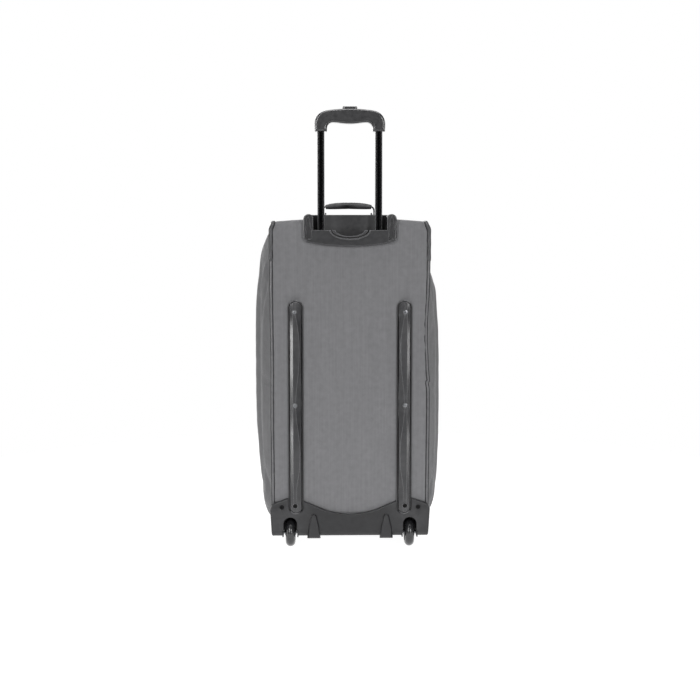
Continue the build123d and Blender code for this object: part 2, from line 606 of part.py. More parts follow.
def grip_outline():
    """The handle's grip: a bowed top, two legs round the tubes and a palm swell between them."""
    with BuildSketch() as outline:
        with BuildLine():
            Spline((0, 915.2), (38.5, 912.8), (55.7, 909.3), (67, 901), (72.4, 888), (72.2, 869),
                   tangents=[(1, 0), (0, -1)])
            Polyline((72.2, 869), (47, 869), (47, 875))
            ThreePointArc((47, 875), (43.3, 884), (34.5, 887.6))
            Spline((34.5, 887.6), (18, 886), (0, 884.8), tangents=[(-1, 0), (-1, 0)])
            mirror(about=Plane.YZ)
        make_face()
    return outline.sketch


for name, end in (("grip_rear_shell", -1), ("grip_front_shell", 1)):
    with BuildPart() as shell:
        with BuildSketch(rear_plane(TUBE_Y)):
            add(grip_outline())
        extrude(amount=-end * GRIP_DEPTH / 2)
        fillet(shell.faces().sort_by(Axis.Y)[0 if end < 0 else -1].edges(), GRIP_EDGE)
        # room for the crossbar, the button's foot, its spring and the two tubes
        block((-CROSSBAR_HALF - 1, TUBE_Y - GRIP_HOLLOW / 2, CROSSBAR_Z - 4.5),
              (CROSSBAR_HALF + 1, TUBE_Y + GRIP_HOLLOW / 2, CROSSBAR_Z + 4.5), mode=Mode.SUBTRACT)
        block((-BUTTON_HALF - 2.5, TUBE_Y - GRIP_HOLLOW / 2, CROSSBAR_Z - 4.5),
              (BUTTON_HALF + 2.5, TUBE_Y + GRIP_HOLLOW / 2, 911), mode=Mode.SUBTRACT)
        block((-BUTTON_HALF - 0.5, TUBE_Y - 8.5, 905), (BUTTON_HALF + 0.5, TUBE_Y + 8.5, 930), mode=Mode.SUBTRACT)
        round_bar(0, TUBE_Y, CROSSBAR_Z - 6, SPRING_R + 1.2, 10, "Z", mode=Mode.SUBTRACT)
        for sign in SIDES.values():
            with BuildSketch(Plane.XY.offset(860)):
                with Locations((sign * TUBE_X, 0)):
                    tube_section(INNER_TUBE, 5.5)
            extrude(amount=INNER_TUBE_Z[1] - 860, mode=Mode.SUBTRACT)
            round_bar(sign * TUBE_X, TUBE_Y, 888, ROD_R + 0.6, 40, "Z", mode=Mode.SUBTRACT)
            round_bar(sign * GRIP_SCREW_X, TUBE_Y + GRIP_DEPTH / 2 - 10, GRIP_SCREW_Z, SHANK_R, 21, "Y",
                      mode=Mode.SUBTRACT)
            round_bar(sign * GRIP_SCREW_X, TUBE_Y + GRIP_DEPTH / 2, GRIP_SCREW_Z, 3.0, 4, "Y", mode=Mode.SUBTRACT)
    save(shell, name)

with BuildPart() as grip_screws:
    for sign in SIDES.values():
        seat = TUBE_Y + GRIP_DEPTH / 2 - 2
        round_bar(sign * GRIP_SCREW_X, seat + 0.8, GRIP_SCREW_Z, 2.9, 1.6, "Y")
        round_bar(sign * GRIP_SCREW_X, seat - 9, GRIP_SCREW_Z, SHANK_R, 18, "Y")
save(grip_screws, "grip_screws")

with BuildPart() as release_button:
    block((-BUTTON_HALF, TUBE_Y - 8, CROSSBAR_Z + 4), (BUTTON_HALF, TUBE_Y + 8, BUTTON_TOP))
    fillet(release_button.edges().filter_by(Axis.Z), 5)
    fillet(release_button.faces().sort_by(Axis.Z)[-1].edges(), 2)
    block((-BUTTON_HALF - 2, TUBE_Y - 8.6, CROSSBAR_Z + 4), (BUTTON_HALF + 2, TUBE_Y + 8.6, CROSSBAR_Z + 6.5))
save(release_button, "release_button")

with BuildPart() as push_rods:
    block((-CROSSBAR_HALF, TUBE_Y - 5, CROSSBAR_Z), (CROSSBAR_HALF, TUBE_Y + 5, CROSSBAR_Z + 4))
    for sign in SIDES.values():
        round_bar(sign * TUBE_X, TUBE_Y, (CROSSBAR_Z + ROD_BOTTOM) / 2, ROD_R, CROSSBAR_Z - ROD_BOTTOM, "Z")
save(push_rods, "push_rods")

with BuildPart() as button_spring:
    with BuildLine() as coil:
        Helix(pitch=SPRING_PITCH, height=SPRING_HEIGHT, radius=SPRING_R, center=(0, TUBE_Y, SPRING_FOOT))
    with BuildSketch(Plane(origin=coil.line @ 0, z_dir=coil.line % 0)):
        Circle(SPRING_WIRE_R)
    sweep(is_frenet=True)
save(button_spring, "button_spring")

with BuildPart() as lock_plugs:
    with BuildSketch(Plane.XY.offset(INNER_TUBE_Z[0])):
        with Locations((-TUBE_X, 0), (TUBE_X, 0)):
            tube_section(INNER_TUBE, 5.5, TUBE_WALL)
    extrude(amount=32)
    for sign in SIDES.values():
        round_bar(sign * (TUBE_X + 4), TUBE_Y, LOCK_Z, LOCK_PIN_R + 0.05, 16, "X", mode=Mode.SUBTRACT)
        round_bar(sign * TUBE_X, TUBE_Y, LOCK_Z + 14, ROD_R + 0.3, 20, "Z", mode=Mode.SUBTRACT)
save(lock_plugs, "lock_plugs")

for side, sign in SIDES.items():
    with BuildPart() as lock_pin:
        round_bar(sign * (TUBE_X + 3.9), TUBE_Y, LOCK_Z, LOCK_PIN_R, 6.8, "X")
        chamfer(lock_pin.edges().sort_by(Axis.X)[-1 if sign > 0 else 0], 0.8)
    save(lock_pin, f"lock_pin_{side}")

# ---------------------------------------------------------------- carry handle

with BuildPart() as carry_handle_anchors:
    for sign in SIDES.values():
        x = sign * CARRY_LUG_X
        block((x - 8.5, -11, 680), (x + 8.5, 11, 694.5))
        for ear in SIDES.values():
            block((x + ear * 6 - 1.5, -5.5, 690), (x + ear * 6 + 1.5, 5.5, CARRY_PIN_Z))
            round_bar(x + ear * 6, 0, CARRY_PIN_Z, 5.5, 3, "X")
        round_bar(x, 0, CARRY_PIN_Z, CARRY_PIN_R, 14, "X")
    add(filled, mode=Mode.SUBTRACT)
save(carry_handle_anchors, "carry_handle_anchors")

with BuildPart() as carry_handle_straps:
    block((-CARRY_LUG_X - 3.5, -CARRY_WIDTH / 2, CARRY_GRIP_Z - 1.5),
          (CARRY_LUG_X + 3.5, CARRY_WIDTH / 2, CARRY_GRIP_Z + 1.5))
    for sign in SIDES.values():
        x = sign * CARRY_LUG_X
        with BuildSketch(Plane.YZ.offset(x - 3.5)):
            with Locations((0, CARRY_PIN_Z)):
                Circle(4.2)
            Polygon((-4.1, CARRY_PIN_Z), (4.1, CARRY_PIN_Z), (CARRY_WIDTH / 2, CARRY_GRIP_Z - 1.5),
                    (-CARRY_WIDTH / 2, CARRY_GRIP_Z - 1.5), align=None)
        extrude(amount=7)
        outer = carry_handle_straps.edges().filter_by(Axis.Y).group_by(Axis.Z)[-1].sort_by(Axis.X)
        round_bar(x, 0, CARRY_PIN_Z, CARRY_PIN_R + 0.06, 20, "X", mode=Mode.SUBTRACT)
    fillet([outer[0], outer[-1]], 2.8)
save(carry_handle_straps, "carry_handle_straps")

with BuildPart() as carry_handle_grip:
    with BuildSketch(Plane.YZ.offset(-CARRY_GRIP_HALF)):
        with Locations((0, CARRY_GRIP_Z)):
            RectangleRounded(30, 14.5, 7)
            Rectangle(CARRY_WIDTH, 3, mode=Mode.SUBTRACT)
    extrude(amount=2 * CARRY_GRIP_HALF)
save(carry_handle_grip, "carry_handle_grip")

# ---------------------------------------------------------------- flap, pockets and zips

with BuildPart() as main_flap:
    with BuildSketch(rear_plane(BODY_FRONT)):
        add(flap_outline())
    extrude(amount=WALL)
save(main_flap, "main_flap")

for name, inner, outer in (("main_zip_tape", ZIP_GAP, ZIP_GAP + TAPE_WIDTH), ("flap_zip_tape", -TAPE_WIDTH, 0)):
    with BuildPart() as tape:
        with BuildSketch(rear_plane(BODY_FRONT + TAPE)):
            add(flap_outline(outer))
            add(flap_outline(inner), mode=Mode.SUBTRACT)
            with Locations((0, FLAP_BOTTOM + 12)):
                Rectangle(400, 60, align=(Align.CENTER, Align.MAX), mode=Mode.SUBTRACT)
        extrude(amount=TAPE)
    save(tape, name)

for name, (half, bottom, top, depth) in POCKETS.items():
    with BuildPart() as pocket:
        with BuildSketch(rear_plane(BODY_FRONT + depth)):
            with Locations((0, (bottom + top) / 2)):
                RectangleRounded(2 * half, top - bottom, 22)
        extrude(amount=depth)
        fillet(pocket.faces().sort_by(Axis.Y)[-1].edges(), 12)
    save(pocket, f"{name}_pocket")

with BuildPart() as pocket_zips:
    for half, bottom, top, depth in POCKETS.values():
        block((-half + 18, BODY_FRONT + depth, top - POCKET_ZIP_DROP - TAPE_WIDTH),
              (half - 18, BODY_FRONT + depth + TAPE, top - POCKET_ZIP_DROP + TAPE_WIDTH))
save(pocket_zips, "pocket_zips")

# name, x, y of the tape's face and z of the zip line
SLIDERS = [("main_left", -12.0, BODY_FRONT + TAPE, FLAP_TOP + ZIP_GAP / 2),
           ("main_right", 12.0, BODY_FRONT + TAPE, FLAP_TOP + ZIP_GAP / 2)]
for name, (half, bottom, top, depth) in POCKETS.items():
    SLIDERS.append((name, half - 32, BODY_FRONT + depth + TAPE, top - POCKET_ZIP_DROP))
for name, x, face, z in SLIDERS:
    bar_y = face + BAR_HEIGHT
    with BuildPart() as slider:
        with BuildSketch(rear_plane(face + 3.6)):
            with Locations((x, z)):
                RectangleRounded(14, 9, 3)
        extrude(amount=3.2)
        for end in SIDES.values():
            block((x + end * 5 - 0.8, face + 3.4, z - 1), (x + end * 5 + 0.8, bar_y, z + 1))
        round_bar(x, bar_y, z, 0.8, 11.6, "X")
    save(slider, f"slider_{name}")
    with BuildPart() as puller:
        round_bar(x, bar_y, z, 2.5, 2.4, "X")
        block((x - 1.2, bar_y - 1, z - 6), (x + 1.2, bar_y + 1, z))
        with BuildSketch(rear_plane(bar_y + 1)):
            with Locations((x, z - 5 - TAB_LENGTH / 2)):
                RectangleRounded(9, TAB_LENGTH, 3)
        extrude(amount=2)
        round_bar(x, bar_y, z, 1.2, 4, "X", mode=Mode.SUBTRACT)
    save(puller, f"puller_{name}")
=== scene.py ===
"""Looks of the rolling duffel bag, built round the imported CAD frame.

Metres, in the frame's own axes: the trolley side faces -Y, +X is to the right as it is looked at, +Z is up.
"""

import math

import bmesh
import bpy
import numpy as np
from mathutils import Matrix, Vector, noise
from mathutils.geometry import delaunay_2d_cdt


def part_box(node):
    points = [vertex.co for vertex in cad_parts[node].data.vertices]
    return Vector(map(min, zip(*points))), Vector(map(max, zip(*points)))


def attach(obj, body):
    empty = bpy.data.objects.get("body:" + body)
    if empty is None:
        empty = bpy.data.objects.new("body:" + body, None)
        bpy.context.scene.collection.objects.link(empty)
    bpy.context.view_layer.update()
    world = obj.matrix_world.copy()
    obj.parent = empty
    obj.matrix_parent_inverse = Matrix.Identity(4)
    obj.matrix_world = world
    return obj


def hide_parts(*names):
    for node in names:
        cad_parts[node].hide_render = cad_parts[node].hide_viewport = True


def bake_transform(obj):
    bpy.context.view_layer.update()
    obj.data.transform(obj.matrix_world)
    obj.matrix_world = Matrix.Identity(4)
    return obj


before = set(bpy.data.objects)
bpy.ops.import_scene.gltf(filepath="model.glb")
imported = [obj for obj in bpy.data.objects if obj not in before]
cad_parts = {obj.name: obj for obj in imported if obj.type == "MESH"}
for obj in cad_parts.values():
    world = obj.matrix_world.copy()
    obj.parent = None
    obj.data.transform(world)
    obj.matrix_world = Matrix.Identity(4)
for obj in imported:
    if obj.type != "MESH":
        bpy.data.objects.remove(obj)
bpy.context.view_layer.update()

MM = 0.001
SIDES = {"left": -1, "right": 1}


def box(node):
    """A CAD node's lowest and highest corners, as arrays."""
    low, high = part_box(node)
    return np.array(low), np.array(high)


# -------- measures from the frame

piping_low, piping_high = box("piping_right")
PIPING_X = (piping_high[0] + piping_low[0]) / 2
BACK_Y = box("back_panel")[0][1]
FRONT_Y = box("front_frame")[1][1]
BOTTOM_Z, TOP_Z = box("bottom_panel")[0][2], box("top_panel")[1][2]
SHOULDER_Z = piping_high[2]
SEAM_TOP_Z, SEAM_BOTTOM_Z = box("back_panel")[1][2], box("back_panel")[0][2]
CORNER_RADII = (12 * MM, 30 * MM, 40 * MM, 16 * MM)  # rear bottom, front bottom, front top, rear top
BAG_MIDDLE = Vector((0, (BACK_Y + FRONT_Y) / 2, (BOTTOM_Z + TOP_Z) / 2))
BASE_LOW, BASE_HIGH = box("base_housing")
CLOTH = 1.4 * MM
UP_Y, UP_Z = np.array([0, 1, 0]), np.array([0, 0, 1])
FLAP_LOW, FLAP_HIGH = box("main_flap")
FLAP_RADIUS = 55 * MM
TAPE_LOW, TAPE_HIGH = box("main_zip_tape")

# -------- materials


def linear(level):
    """An 8-bit sRGB level as a linear value."""
    c = level / 255
    return c / 12.92 if c <= 0.04045 else ((c + 0.055) / 1.055) ** 2.4


def tint(colour):
    """A linear colour from three 8-bit sRGB levels, or from one for a grey with a trace of blue.
    A node's output stays as it is."""
    if isinstance(colour, bpy.types.NodeSocket):
        return colour
    red, green, blue = colour if isinstance(colour, tuple) else (colour, colour, colour + 2)
    return (linear(red), linear(green), linear(blue), 1.0)


class Nodes:
    """Adds nodes to a tree. Each input is given a plain value or another node's output."""

    def __init__(self, tree):
        self.tree = tree

    def fill(self, socket, value):
        if isinstance(value, bpy.types.NodeSocket):
            self.tree.links.new(value, socket)
        else:
            socket.default_value = value

    def add(self, kind, inputs=(), output=0, **settings):
        """Adds a node, fills its inputs and returns one of its outputs."""
        node = self.tree.nodes.new(kind)
        for key, value in settings.items():
            setattr(node, key, value)
        for key, value in dict(inputs).items():
            self.fill(node.inputs[key], value)
        return node.outputs[output]

    def math(self, operation, *values):
        return self.add("ShaderNodeMath", dict(enumerate(values)), operation=operation)

    def axis(self, vector, name):
        return self.add("ShaderNodeSeparateXYZ", {0: vector}, name)

    def remap(self, value, low, high, to_low, to_high, **settings):
        return self.add("ShaderNodeMapRange", {"Value": value, "From Min": low, "From Max": high, "To Min": to_low,
                                               "To Max": to_high}, "Result", **settings)


class Finish(Nodes):
    """A procedural material: mottled colour, uneven roughness and a bump of grain or weave.
    Colours are given as for tint."""

    def __init__(self, name, dark, light, rough, **sockets):
        self.material = bpy.data.materials.new(name)
        self.material.use_nodes = True
        super().__init__(self.material.node_tree)
        self.sockets = self.tree.nodes["Principled BSDF"].inputs
        self.place = self.add("ShaderNodeTexCoord", output="Object")
        self.normal = None
        for socket, value in sockets.items():
            self.sockets[socket.replace("_", " ")].default_value = value
        self.rough = rough
        self.colour = self.blend(self.noise(90, 3), dark, light)

    def noise(self, scale, detail=2, stretch=None, rough=0.5):
        place = self.add("ShaderNodeMapping", {"Vector": self.place, "Scale": stretch}) if stretch else self.place
        return self.add("ShaderNodeTexNoise", {"Vector": place, "Scale": scale, "Detail": detail,
                                               "Roughness": rough}, "Fac")

    def blend(self, factor, a, b, low=0.3, high=0.7):
        """Colour a up to the factor's low value, turning into b at its high value."""
        share = self.remap(factor, low, high, 0, 1)
        return self.add("ShaderNodeMix", {"Factor": share, 6: tint(a), 7: tint(b)}, 2, data_type="RGBA")

    def bump(self, height, distance, strength):
        inputs = {"Height": height, "Distance": distance, "Strength": strength}
        if self.normal is not None:
            inputs["Normal"] = self.normal
        self.normal = self.add("ShaderNodeBump", inputs, "Normal")

    def round_edges(self, radius):
        """Shades sharp edges as if they had this radius, so that they catch the light."""
        self.normal = self.add("ShaderNodeBevel", {"Radius": radius}, "Normal", samples=8)

    def weave(self, pitch, thread):
        """Crossing threads: one sine along each axis, so any face shows two of them."""
        scale = 2 * math.pi / (20 * pitch)
        x, y, z = [self.add("ShaderNodeTexWave", {"Vector": self.place, "Scale": scale}, "Fac", bands_direction=axis)
                   for axis in "XYZ"]
        height = self.math("ADD", self.math("ADD", x, y), z)
        self.bump(height, thread, 0.6)
        return height

    def paint_worn_and_highlit_edges(self, light):
        """Lighter convex edges: partly rubbed wear, partly a painted highlight."""
        convex = self.remap(self.add("ShaderNodeNewGeometry", output="Pointiness"), 0.51, 0.6, 0, 0.5)
        patchy = self.math("MULTIPLY", convex, self.noise(60, 3))
        self.colour = self.blend(patchy, self.colour, light, 0, 1)

    def paint_edge_highlights(self, light, reach):
        """Paints a thin highlight along every sharp edge, where the rounded normal parts from the flat one."""
        rounded = self.add("ShaderNodeBevel", {"Radius": reach}, "Normal", samples=6)
        flat = self.add("ShaderNodeNewGeometry", output="Normal")
        edge_highlight_mask = self.add("ShaderNodeVectorMath", {0: rounded, 1: flat}, "Value", operation="DOT_PRODUCT")
        self.colour = self.blend(edge_highlight_mask, light, self.colour, 0.93, 0.998)

    def paint_crease_shade(self, dark, reach):
        """Paints shade into the corners where faces meet, within reach, from ambient occlusion."""
        openness = self.add("ShaderNodeAmbientOcclusion", {"Distance": reach}, "AO", samples=6)
        self.colour = self.blend(openness, dark, self.colour, 0.3, 1.0)

    def deep_shade(self, dark, y, z):
        """Paints shade on what lies in front of y and below z, such as the depth of a recess."""
        inside = self.remap(self.axis(self.place, "Y"), y, y + 3 * MM, 0, 1)
        below = self.remap(self.axis(self.place, "Z"), z - 4 * MM, z + 10 * MM, 1, 0)
        self.colour = self.blend(self.math("MULTIPLY", inside, below), self.colour, dark, 0, 1)

    def paint_side_highlight(self, light):
        """Painted highlight: lighter on the faces turned sideways, where a tube's sides catch the light."""
        sideways = self.math("ABSOLUTE", self.axis(self.add("ShaderNodeNewGeometry", output="Normal"), "X"))
        self.colour = self.blend(sideways, self.colour, light, 0.55, 0.9)

    def done(self, spread=0.06, scale=120):
        """Connects colour, roughness and bump to the shader."""
        rough = self.remap(self.noise(scale), 0.3, 0.7, self.rough - spread, self.rough + spread)
        self.fill(self.sockets["Base Color"], self.colour)
        self.fill(self.sockets["Roughness"], rough)
        if self.normal is not None:
            self.fill(self.sockets["Normal"], self.normal)
        return self.material


def cloth_finish(name, dark, light, streak, pitch, thread, rough=0.85, sheen=0.25):
    """Woven polyester: threads, faint lengthwise streaks and a slight sheen. Pitch and thread are millimetres."""
    f = Finish(name, dark, light, rough, Sheen_Weight=sheen, Sheen_Roughness=0.5, Specular_IOR_Level=0.2)
    streaks = f.noise(1, 3, stretch=(330, 330, 7), rough=0.6)
    f.colour = f.blend(streaks, f.colour, streak, 0.42, 1.25)
    height = f.weave(pitch * MM, thread * MM)
    f.colour = f.blend(height, f.colour, dark, 3.0, -2.0)
    f.bump(f.noise(260), 0.25 * MM, 0.5)
    return f.done(0.05)


EDGE_RADIUS, EDGE_HIGHLIGHT_REACH, CREASE_SHADE_REACH = 0.8 * MM, 2 * MM, 9 * MM


def moulded_finish(name, dark, light, rough, grain=0.05, wear_and_highlight=None, line=None, crease_shade=None, deep=None, side=None,
                   **sockets):
    """Injection-moulded plastic with a fine spark-eroded grain, whose depth is in millimetres."""
    f = Finish(name, dark, light, rough, **sockets)
    # line: colour of a painted highlight along sharp edges
    if line:
        f.paint_edge_highlights(line, EDGE_HIGHLIGHT_REACH)
    # crease: colour of painted shade in the corners where faces meet
    if crease_shade:
        f.paint_crease_shade(crease_shade, CREASE_SHADE_REACH)
    # deep: colour and bounds of painted shade deep in a recess
    if deep:
        f.deep_shade(*deep)
    # side: colour of a painted highlight on faces turned sideways
    if side:
        f.paint_side_highlight(side)
    # the lighter edge colour: partly rubbed wear, partly a painted highlight
    if wear_and_highlight:
        f.round_edges(EDGE_RADIUS)
    f.bump(f.noise(1500), grain * MM, 0.6)
    if wear_and_highlight:
        f.paint_worn_and_highlit_edges(wear_and_highlight)
    return f.done()


def hide_finish(name, dark, light, rough, pebble, depth):
    """Coated leatherette: pebbled cells, their depth in millimetres, over a soft, uneven ground."""
    f = Finish(name, dark, light, rough)
    cells = f.add("ShaderNodeTexVoronoi", {"Vector": f.place, "Scale": pebble}, "Distance", feature="F1")
    f.bump(cells, depth * MM, 0.7)
    f.bump(f.noise(140), 0.3 * MM, 0.4)
    return f.done(0.08)


def metal_finish(name, dark, light, rough):
    """Metal brushed along Z."""
    f = Finish(name, dark, light, rough, Metallic=1.0)
    f.bump(f.noise(1, stretch=(40, 40, 900)), 0.02 * MM, 0.5)
    return f.done(0.08, 200)


# a darker copy of the fabric for the side panels: painted shade, as they turn away from the light
SHADED_SIDE_FABRIC = cloth_finish("side_fabric_painted_shade", 100, 112, 126, 1.15, 0.16)
FABRIC = cloth_finish("fabric", 112, 124, 138, 1.15, 0.16)
LINING = cloth_finish("lining", (58, 58, 62), (70, 70, 74), (80, 80, 84), 0.8, 0.1, 0.7, 0.1)
WEBBING = cloth_finish("webbing", 30, 40, 50, 1.8, 0.3, 0.75)
TAPE = cloth_finish("zip_tape", 22, 32, 40, 0.7, 0.12, 0.8)
THREAD = cloth_finish("thread", 46, 60, 72, 0.3, 0.05, 0.6)
PIPING = hide_finish("piping", 92, 108, 0.4, 900, 0.06)
# dark flanges beside the piping and the guards: a real binding, made dark as painted shade for the seam grooves
FLANGE_AND_SEAM_SHADE = hide_finish("piping_flange_seam_shade", 16, 24, 0.6, 900, 0.06)
GUARD = hide_finish("leatherette", 62, 80, 0.4, 650, 0.12)
GRIP_PAD = hide_finish("grip_pad", 42, 60, 0.5, 520, 0.2)
TAB = hide_finish("tab", 24, 36, 0.45, 700, 0.1)

# colour of the painted highlight on sharp edges, and colour of the painted shade in creases
PAINTED_EDGE_HIGHLIGHT, PAINTED_CREASE_SHADE = 112, (10, 10, 11)
BEZEL_LOW, BEZEL_HIGH = box("handle_bezel")
# painted shade: dark on the rail flanges next to the cloth, and dark deep in the bezel recess below its rim
RAIL_FLANGE_SHADE = ((14, 14, 15), box("rail_left")[1][1] - 6 * MM, 1.0)
RECESS_SHADE = ((8, 8, 9), BEZEL_LOW[1] + 9 * MM, (BEZEL_LOW[2] + BEZEL_HIGH[2]) / 2)
# rails: painted edge highlights, painted crease shade and painted shade on the flanges; bezel: the same, with
# painted shade deep in its recess
RAIL = moulded_finish("rail_moulding", 40, 50, 0.42, 0.03, 90, PAINTED_EDGE_HIGHLIGHT, PAINTED_CREASE_SHADE, RAIL_FLANGE_SHADE,
                      Coat_Weight=0.3, Coat_Roughness=0.24)
BEZEL = moulded_finish("bezel_moulding", 38, 47, 0.36, 0.03, 90, PAINTED_EDGE_HIGHLIGHT, PAINTED_CREASE_SHADE, RECESS_SHADE,
                       Coat_Weight=0.5, Coat_Roughness=0.16)
# the base gets painted shade in its creases
BASE = moulded_finish("base_moulding", 26, 34, 0.42, 0.04, 80, crease_shade=PAINTED_CREASE_SHADE)
GRIP = moulded_finish("grip", 36, 47, 0.34, 0.02, 96, Coat_Weight=0.8, Coat_Roughness=0.14)
BOARD = moulded_finish("board", 70, 84, 0.6, 0.1)
# the black tubes get a painted highlight on their sideways faces
TUBE_BLACK = moulded_finish("tube_black", (3, 3, 4), (6, 6, 7), 0.2, 0.0, side=120,
                            Specular_IOR_Level=0.05)
TEETH = moulded_finish("zip_teeth", 26, 36, 0.36, 0.02)
RUBBER = moulded_finish("wheel_rubber", 28, 40, 0.3, 0.02, Coat_Weight=0.6, Coat_Roughness=0.12)
CORE = moulded_finish("wheel_core", 40, 50, 0.4, 0.05)
BLACKED = moulded_finish("blacked_steel", (4, 4, 5), (8, 8, 9), 0.55, 0.02, Specular_IOR_Level=0.2)
TUBE_RAW = metal_finish("tube_raw", (120, 122, 126), (150, 152, 156), 0.38)
STEEL = metal_finish("steel", (128, 130, 133), (150, 151, 154), 0.38)
ZIP_METAL = metal_finish("zip_metal", (58, 60, 64), (76, 78, 82), 0.3)


def pair(name):
    return [f"{name}_{side}" for side in SIDES]


CAD_FINISHES = {
    RAIL: pair("rail"),
    BEZEL: ["handle_bezel"],
    BASE: ["base_housing", "front_feet", "carry_handle_anchors", "tube_foot_bracket", *pair("wheel_well")],
    GRIP: ["grip_rear_shell", "grip_front_shell", "release_button", "tube_collars", "lock_plugs"],
    BOARD: ["back_board", "push_rods"],
    TUBE_BLACK: pair("inner_tube"),
    TUBE_RAW: pair("outer_tube"),
    RUBBER: pair("tyre"),
    CORE: pair("hub"),
    STEEL: ["bezel_screws", "grip_screws", "axles", "button_spring", *pair("bush"), *pair("lock_pin")],
    ZIP_METAL: [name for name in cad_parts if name.startswith("slider_")],
    TAB: [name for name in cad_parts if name.startswith("puller_")],
}
for finish, names in CAD_FINISHES.items():
    for name in names:
        for material_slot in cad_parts[name].material_slots:
            material_slot.material = finish

# -------- mesh helpers


def make(name, vertices, faces, materials, body, ride=True):
    """A mesh object from points and faces, riding on a body."""
    mesh = bpy.data.meshes.new(name)
    mesh.from_pydata([tuple(map(float, v)) for v in vertices], [], [tuple(map(int, f)) for f in faces])
    for m in materials:
        mesh.materials.append(m)
    mesh.validate()
    mesh.update()
    mesh.polygons.foreach_set("use_smooth", [True] * len(mesh.polygons))
    obj = bpy.data.objects.new(name, mesh)
    bpy.context.scene.collection.objects.link(obj)
    if ride:
        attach(obj, body)
    return obj


def fabric_skin(obj, thickness=CLOTH):
    """Gives a cloth mesh one round of smoothing and an inner face in the second material."""
    smooth = obj.modifiers.new("smooth", "SUBSURF")
    smooth.levels = smooth.render_levels = 1
    smooth.boundary_smooth = "PRESERVE_CORNERS"
    solid = obj.modifiers.new("thickness", "SOLIDIFY")
    solid.thickness, solid.offset = thickness, -1
    solid.material_offset = 1
    solid.use_even_offset = False


def turn_outward(obj, centre=BAG_MIDDLE):
    """Makes all faces point away from a centre."""
    work = bmesh.new()
    work.from_mesh(obj.data)
    for face in work.faces:
        if face.normal.dot(face.calc_center_median() - centre) < 0:
            face.normal_flip()
    work.to_mesh(obj.data)
    work.free()


def unit(vectors):
    return vectors / np.linalg.norm(vectors, axis=1)[:, None]


def lofted(count, sides, closed=False):
    """The faces of a tube of count sections with as many sides each, capped unless it is closed on itself."""
    faces = [(i * sides + j, i * sides + (j + 1) % sides, (i + 1) % count * sides + (j + 1) % sides,
              (i + 1) % count * sides + j) for i in range(count if closed else count - 1) for j in range(sides)]
    if not closed:
        faces += [tuple(range(sides))[::-1], tuple((count - 1) * sides + j for j in range(sides))]
    return faces


def sweep(path, section, ups, closed=False):
    """Points and faces of a section carried along a path. Section x runs to the side and y along up.
    The section may be one shape or one for each point of the path."""
    path, section = np.asarray(path, float), np.asarray(section, float)
    ahead = unit(np.roll(path, -1, 0) - np.roll(path, 1, 0) if closed else np.gradient(path, axis=0))
    side = unit(np.cross(ahead, np.broadcast_to(np.asarray(ups, float), path.shape)))
    up = np.cross(side, ahead)
    shapes = np.broadcast_to(section, (len(path), *section.shape[-2:]))
    points = path[:, None] + shapes[:, :, :1] * side[:, None] + shapes[:, :, 1:] * up[:, None]
    return points.reshape(-1, 3), lofted(*shapes.shape[:2], closed)


def ring(width, height, count=12, power=2.0):
    """A rounded section: an ellipse at power 2, squarer above it."""
    angle = np.linspace(0, 2 * math.pi, count, endpoint=False)
    c, s = np.cos(angle), np.sin(angle)
    return np.stack([width / 2 * np.sign(c) * abs(c) ** (2 / power),
                     height / 2 * np.sign(s) * abs(s) ** (2 / power)], 1)


def join(parts):
    """Several (points, faces) as one."""
    points, faces, start = [], [], 0
    for p, f in parts:
        points.append(p)
        faces += [tuple(i + start for i in face) for face in f]
        start += len(p)
    return np.concatenate(points), faces


def travel(path):
    """The distance along a polyline to each of its points."""
    return np.concatenate([[0], np.cumsum(np.linalg.norm(np.diff(path, axis=0), axis=1))])


def resample(path, pitch):
    """Points a pitch apart along a polyline, with the direction at each."""
    path = np.asarray(path, float)
    along = travel(path)
    count = max(int(round(along[-1] / pitch)), 1)
    at = (np.arange(count) + 0.5) * along[-1] / count

    def points(places):
        return np.stack([np.interp(places, along, path[:, k]) for k in range(path.shape[1])], 1)

    return points(at), unit(points(at + pitch * 0.05) - points(at - pitch * 0.05))


# One stitch: place along it, width and lift of each section
STITCH = [(-1.0, 0.15, -0.5), (-0.8, 0.8, 0.1), (0.0, 1.0, 0.45), (0.8, 0.8, 0.1), (1.0, 0.15, -0.5)]
STITCH_FACES = lofted(len(STITCH), 6)


def stitches(name, paths, body, pitch=3.4 * MM, thread=0.42 * MM):
    """Rows of raised stitches. Each path is (points, normals): normals is one vector or one per point."""
    parts = []
    for path, normals in paths:
        path = np.asarray(path, float)
        normals = np.broadcast_to(np.asarray(normals, float), path.shape)
        points, ahead = resample(np.concatenate([path, normals], 1), pitch)
        for centre, up, direction in zip(points[:, :3], unit(points[:, 3:]), unit(ahead[:, :3])):
            side = np.cross(direction, up)
            rows = []
            for along, width, lift in STITCH:
                middle = centre + direction * along * pitch * 0.38 + up * lift * thread
                for angle in np.arange(6) * math.pi / 3:
                    rows.append(middle + (side * math.cos(angle) + up * math.sin(angle)) * thread * width)
            parts.append((np.array(rows), STITCH_FACES))
    make(name, *join(parts), [THREAD], body)


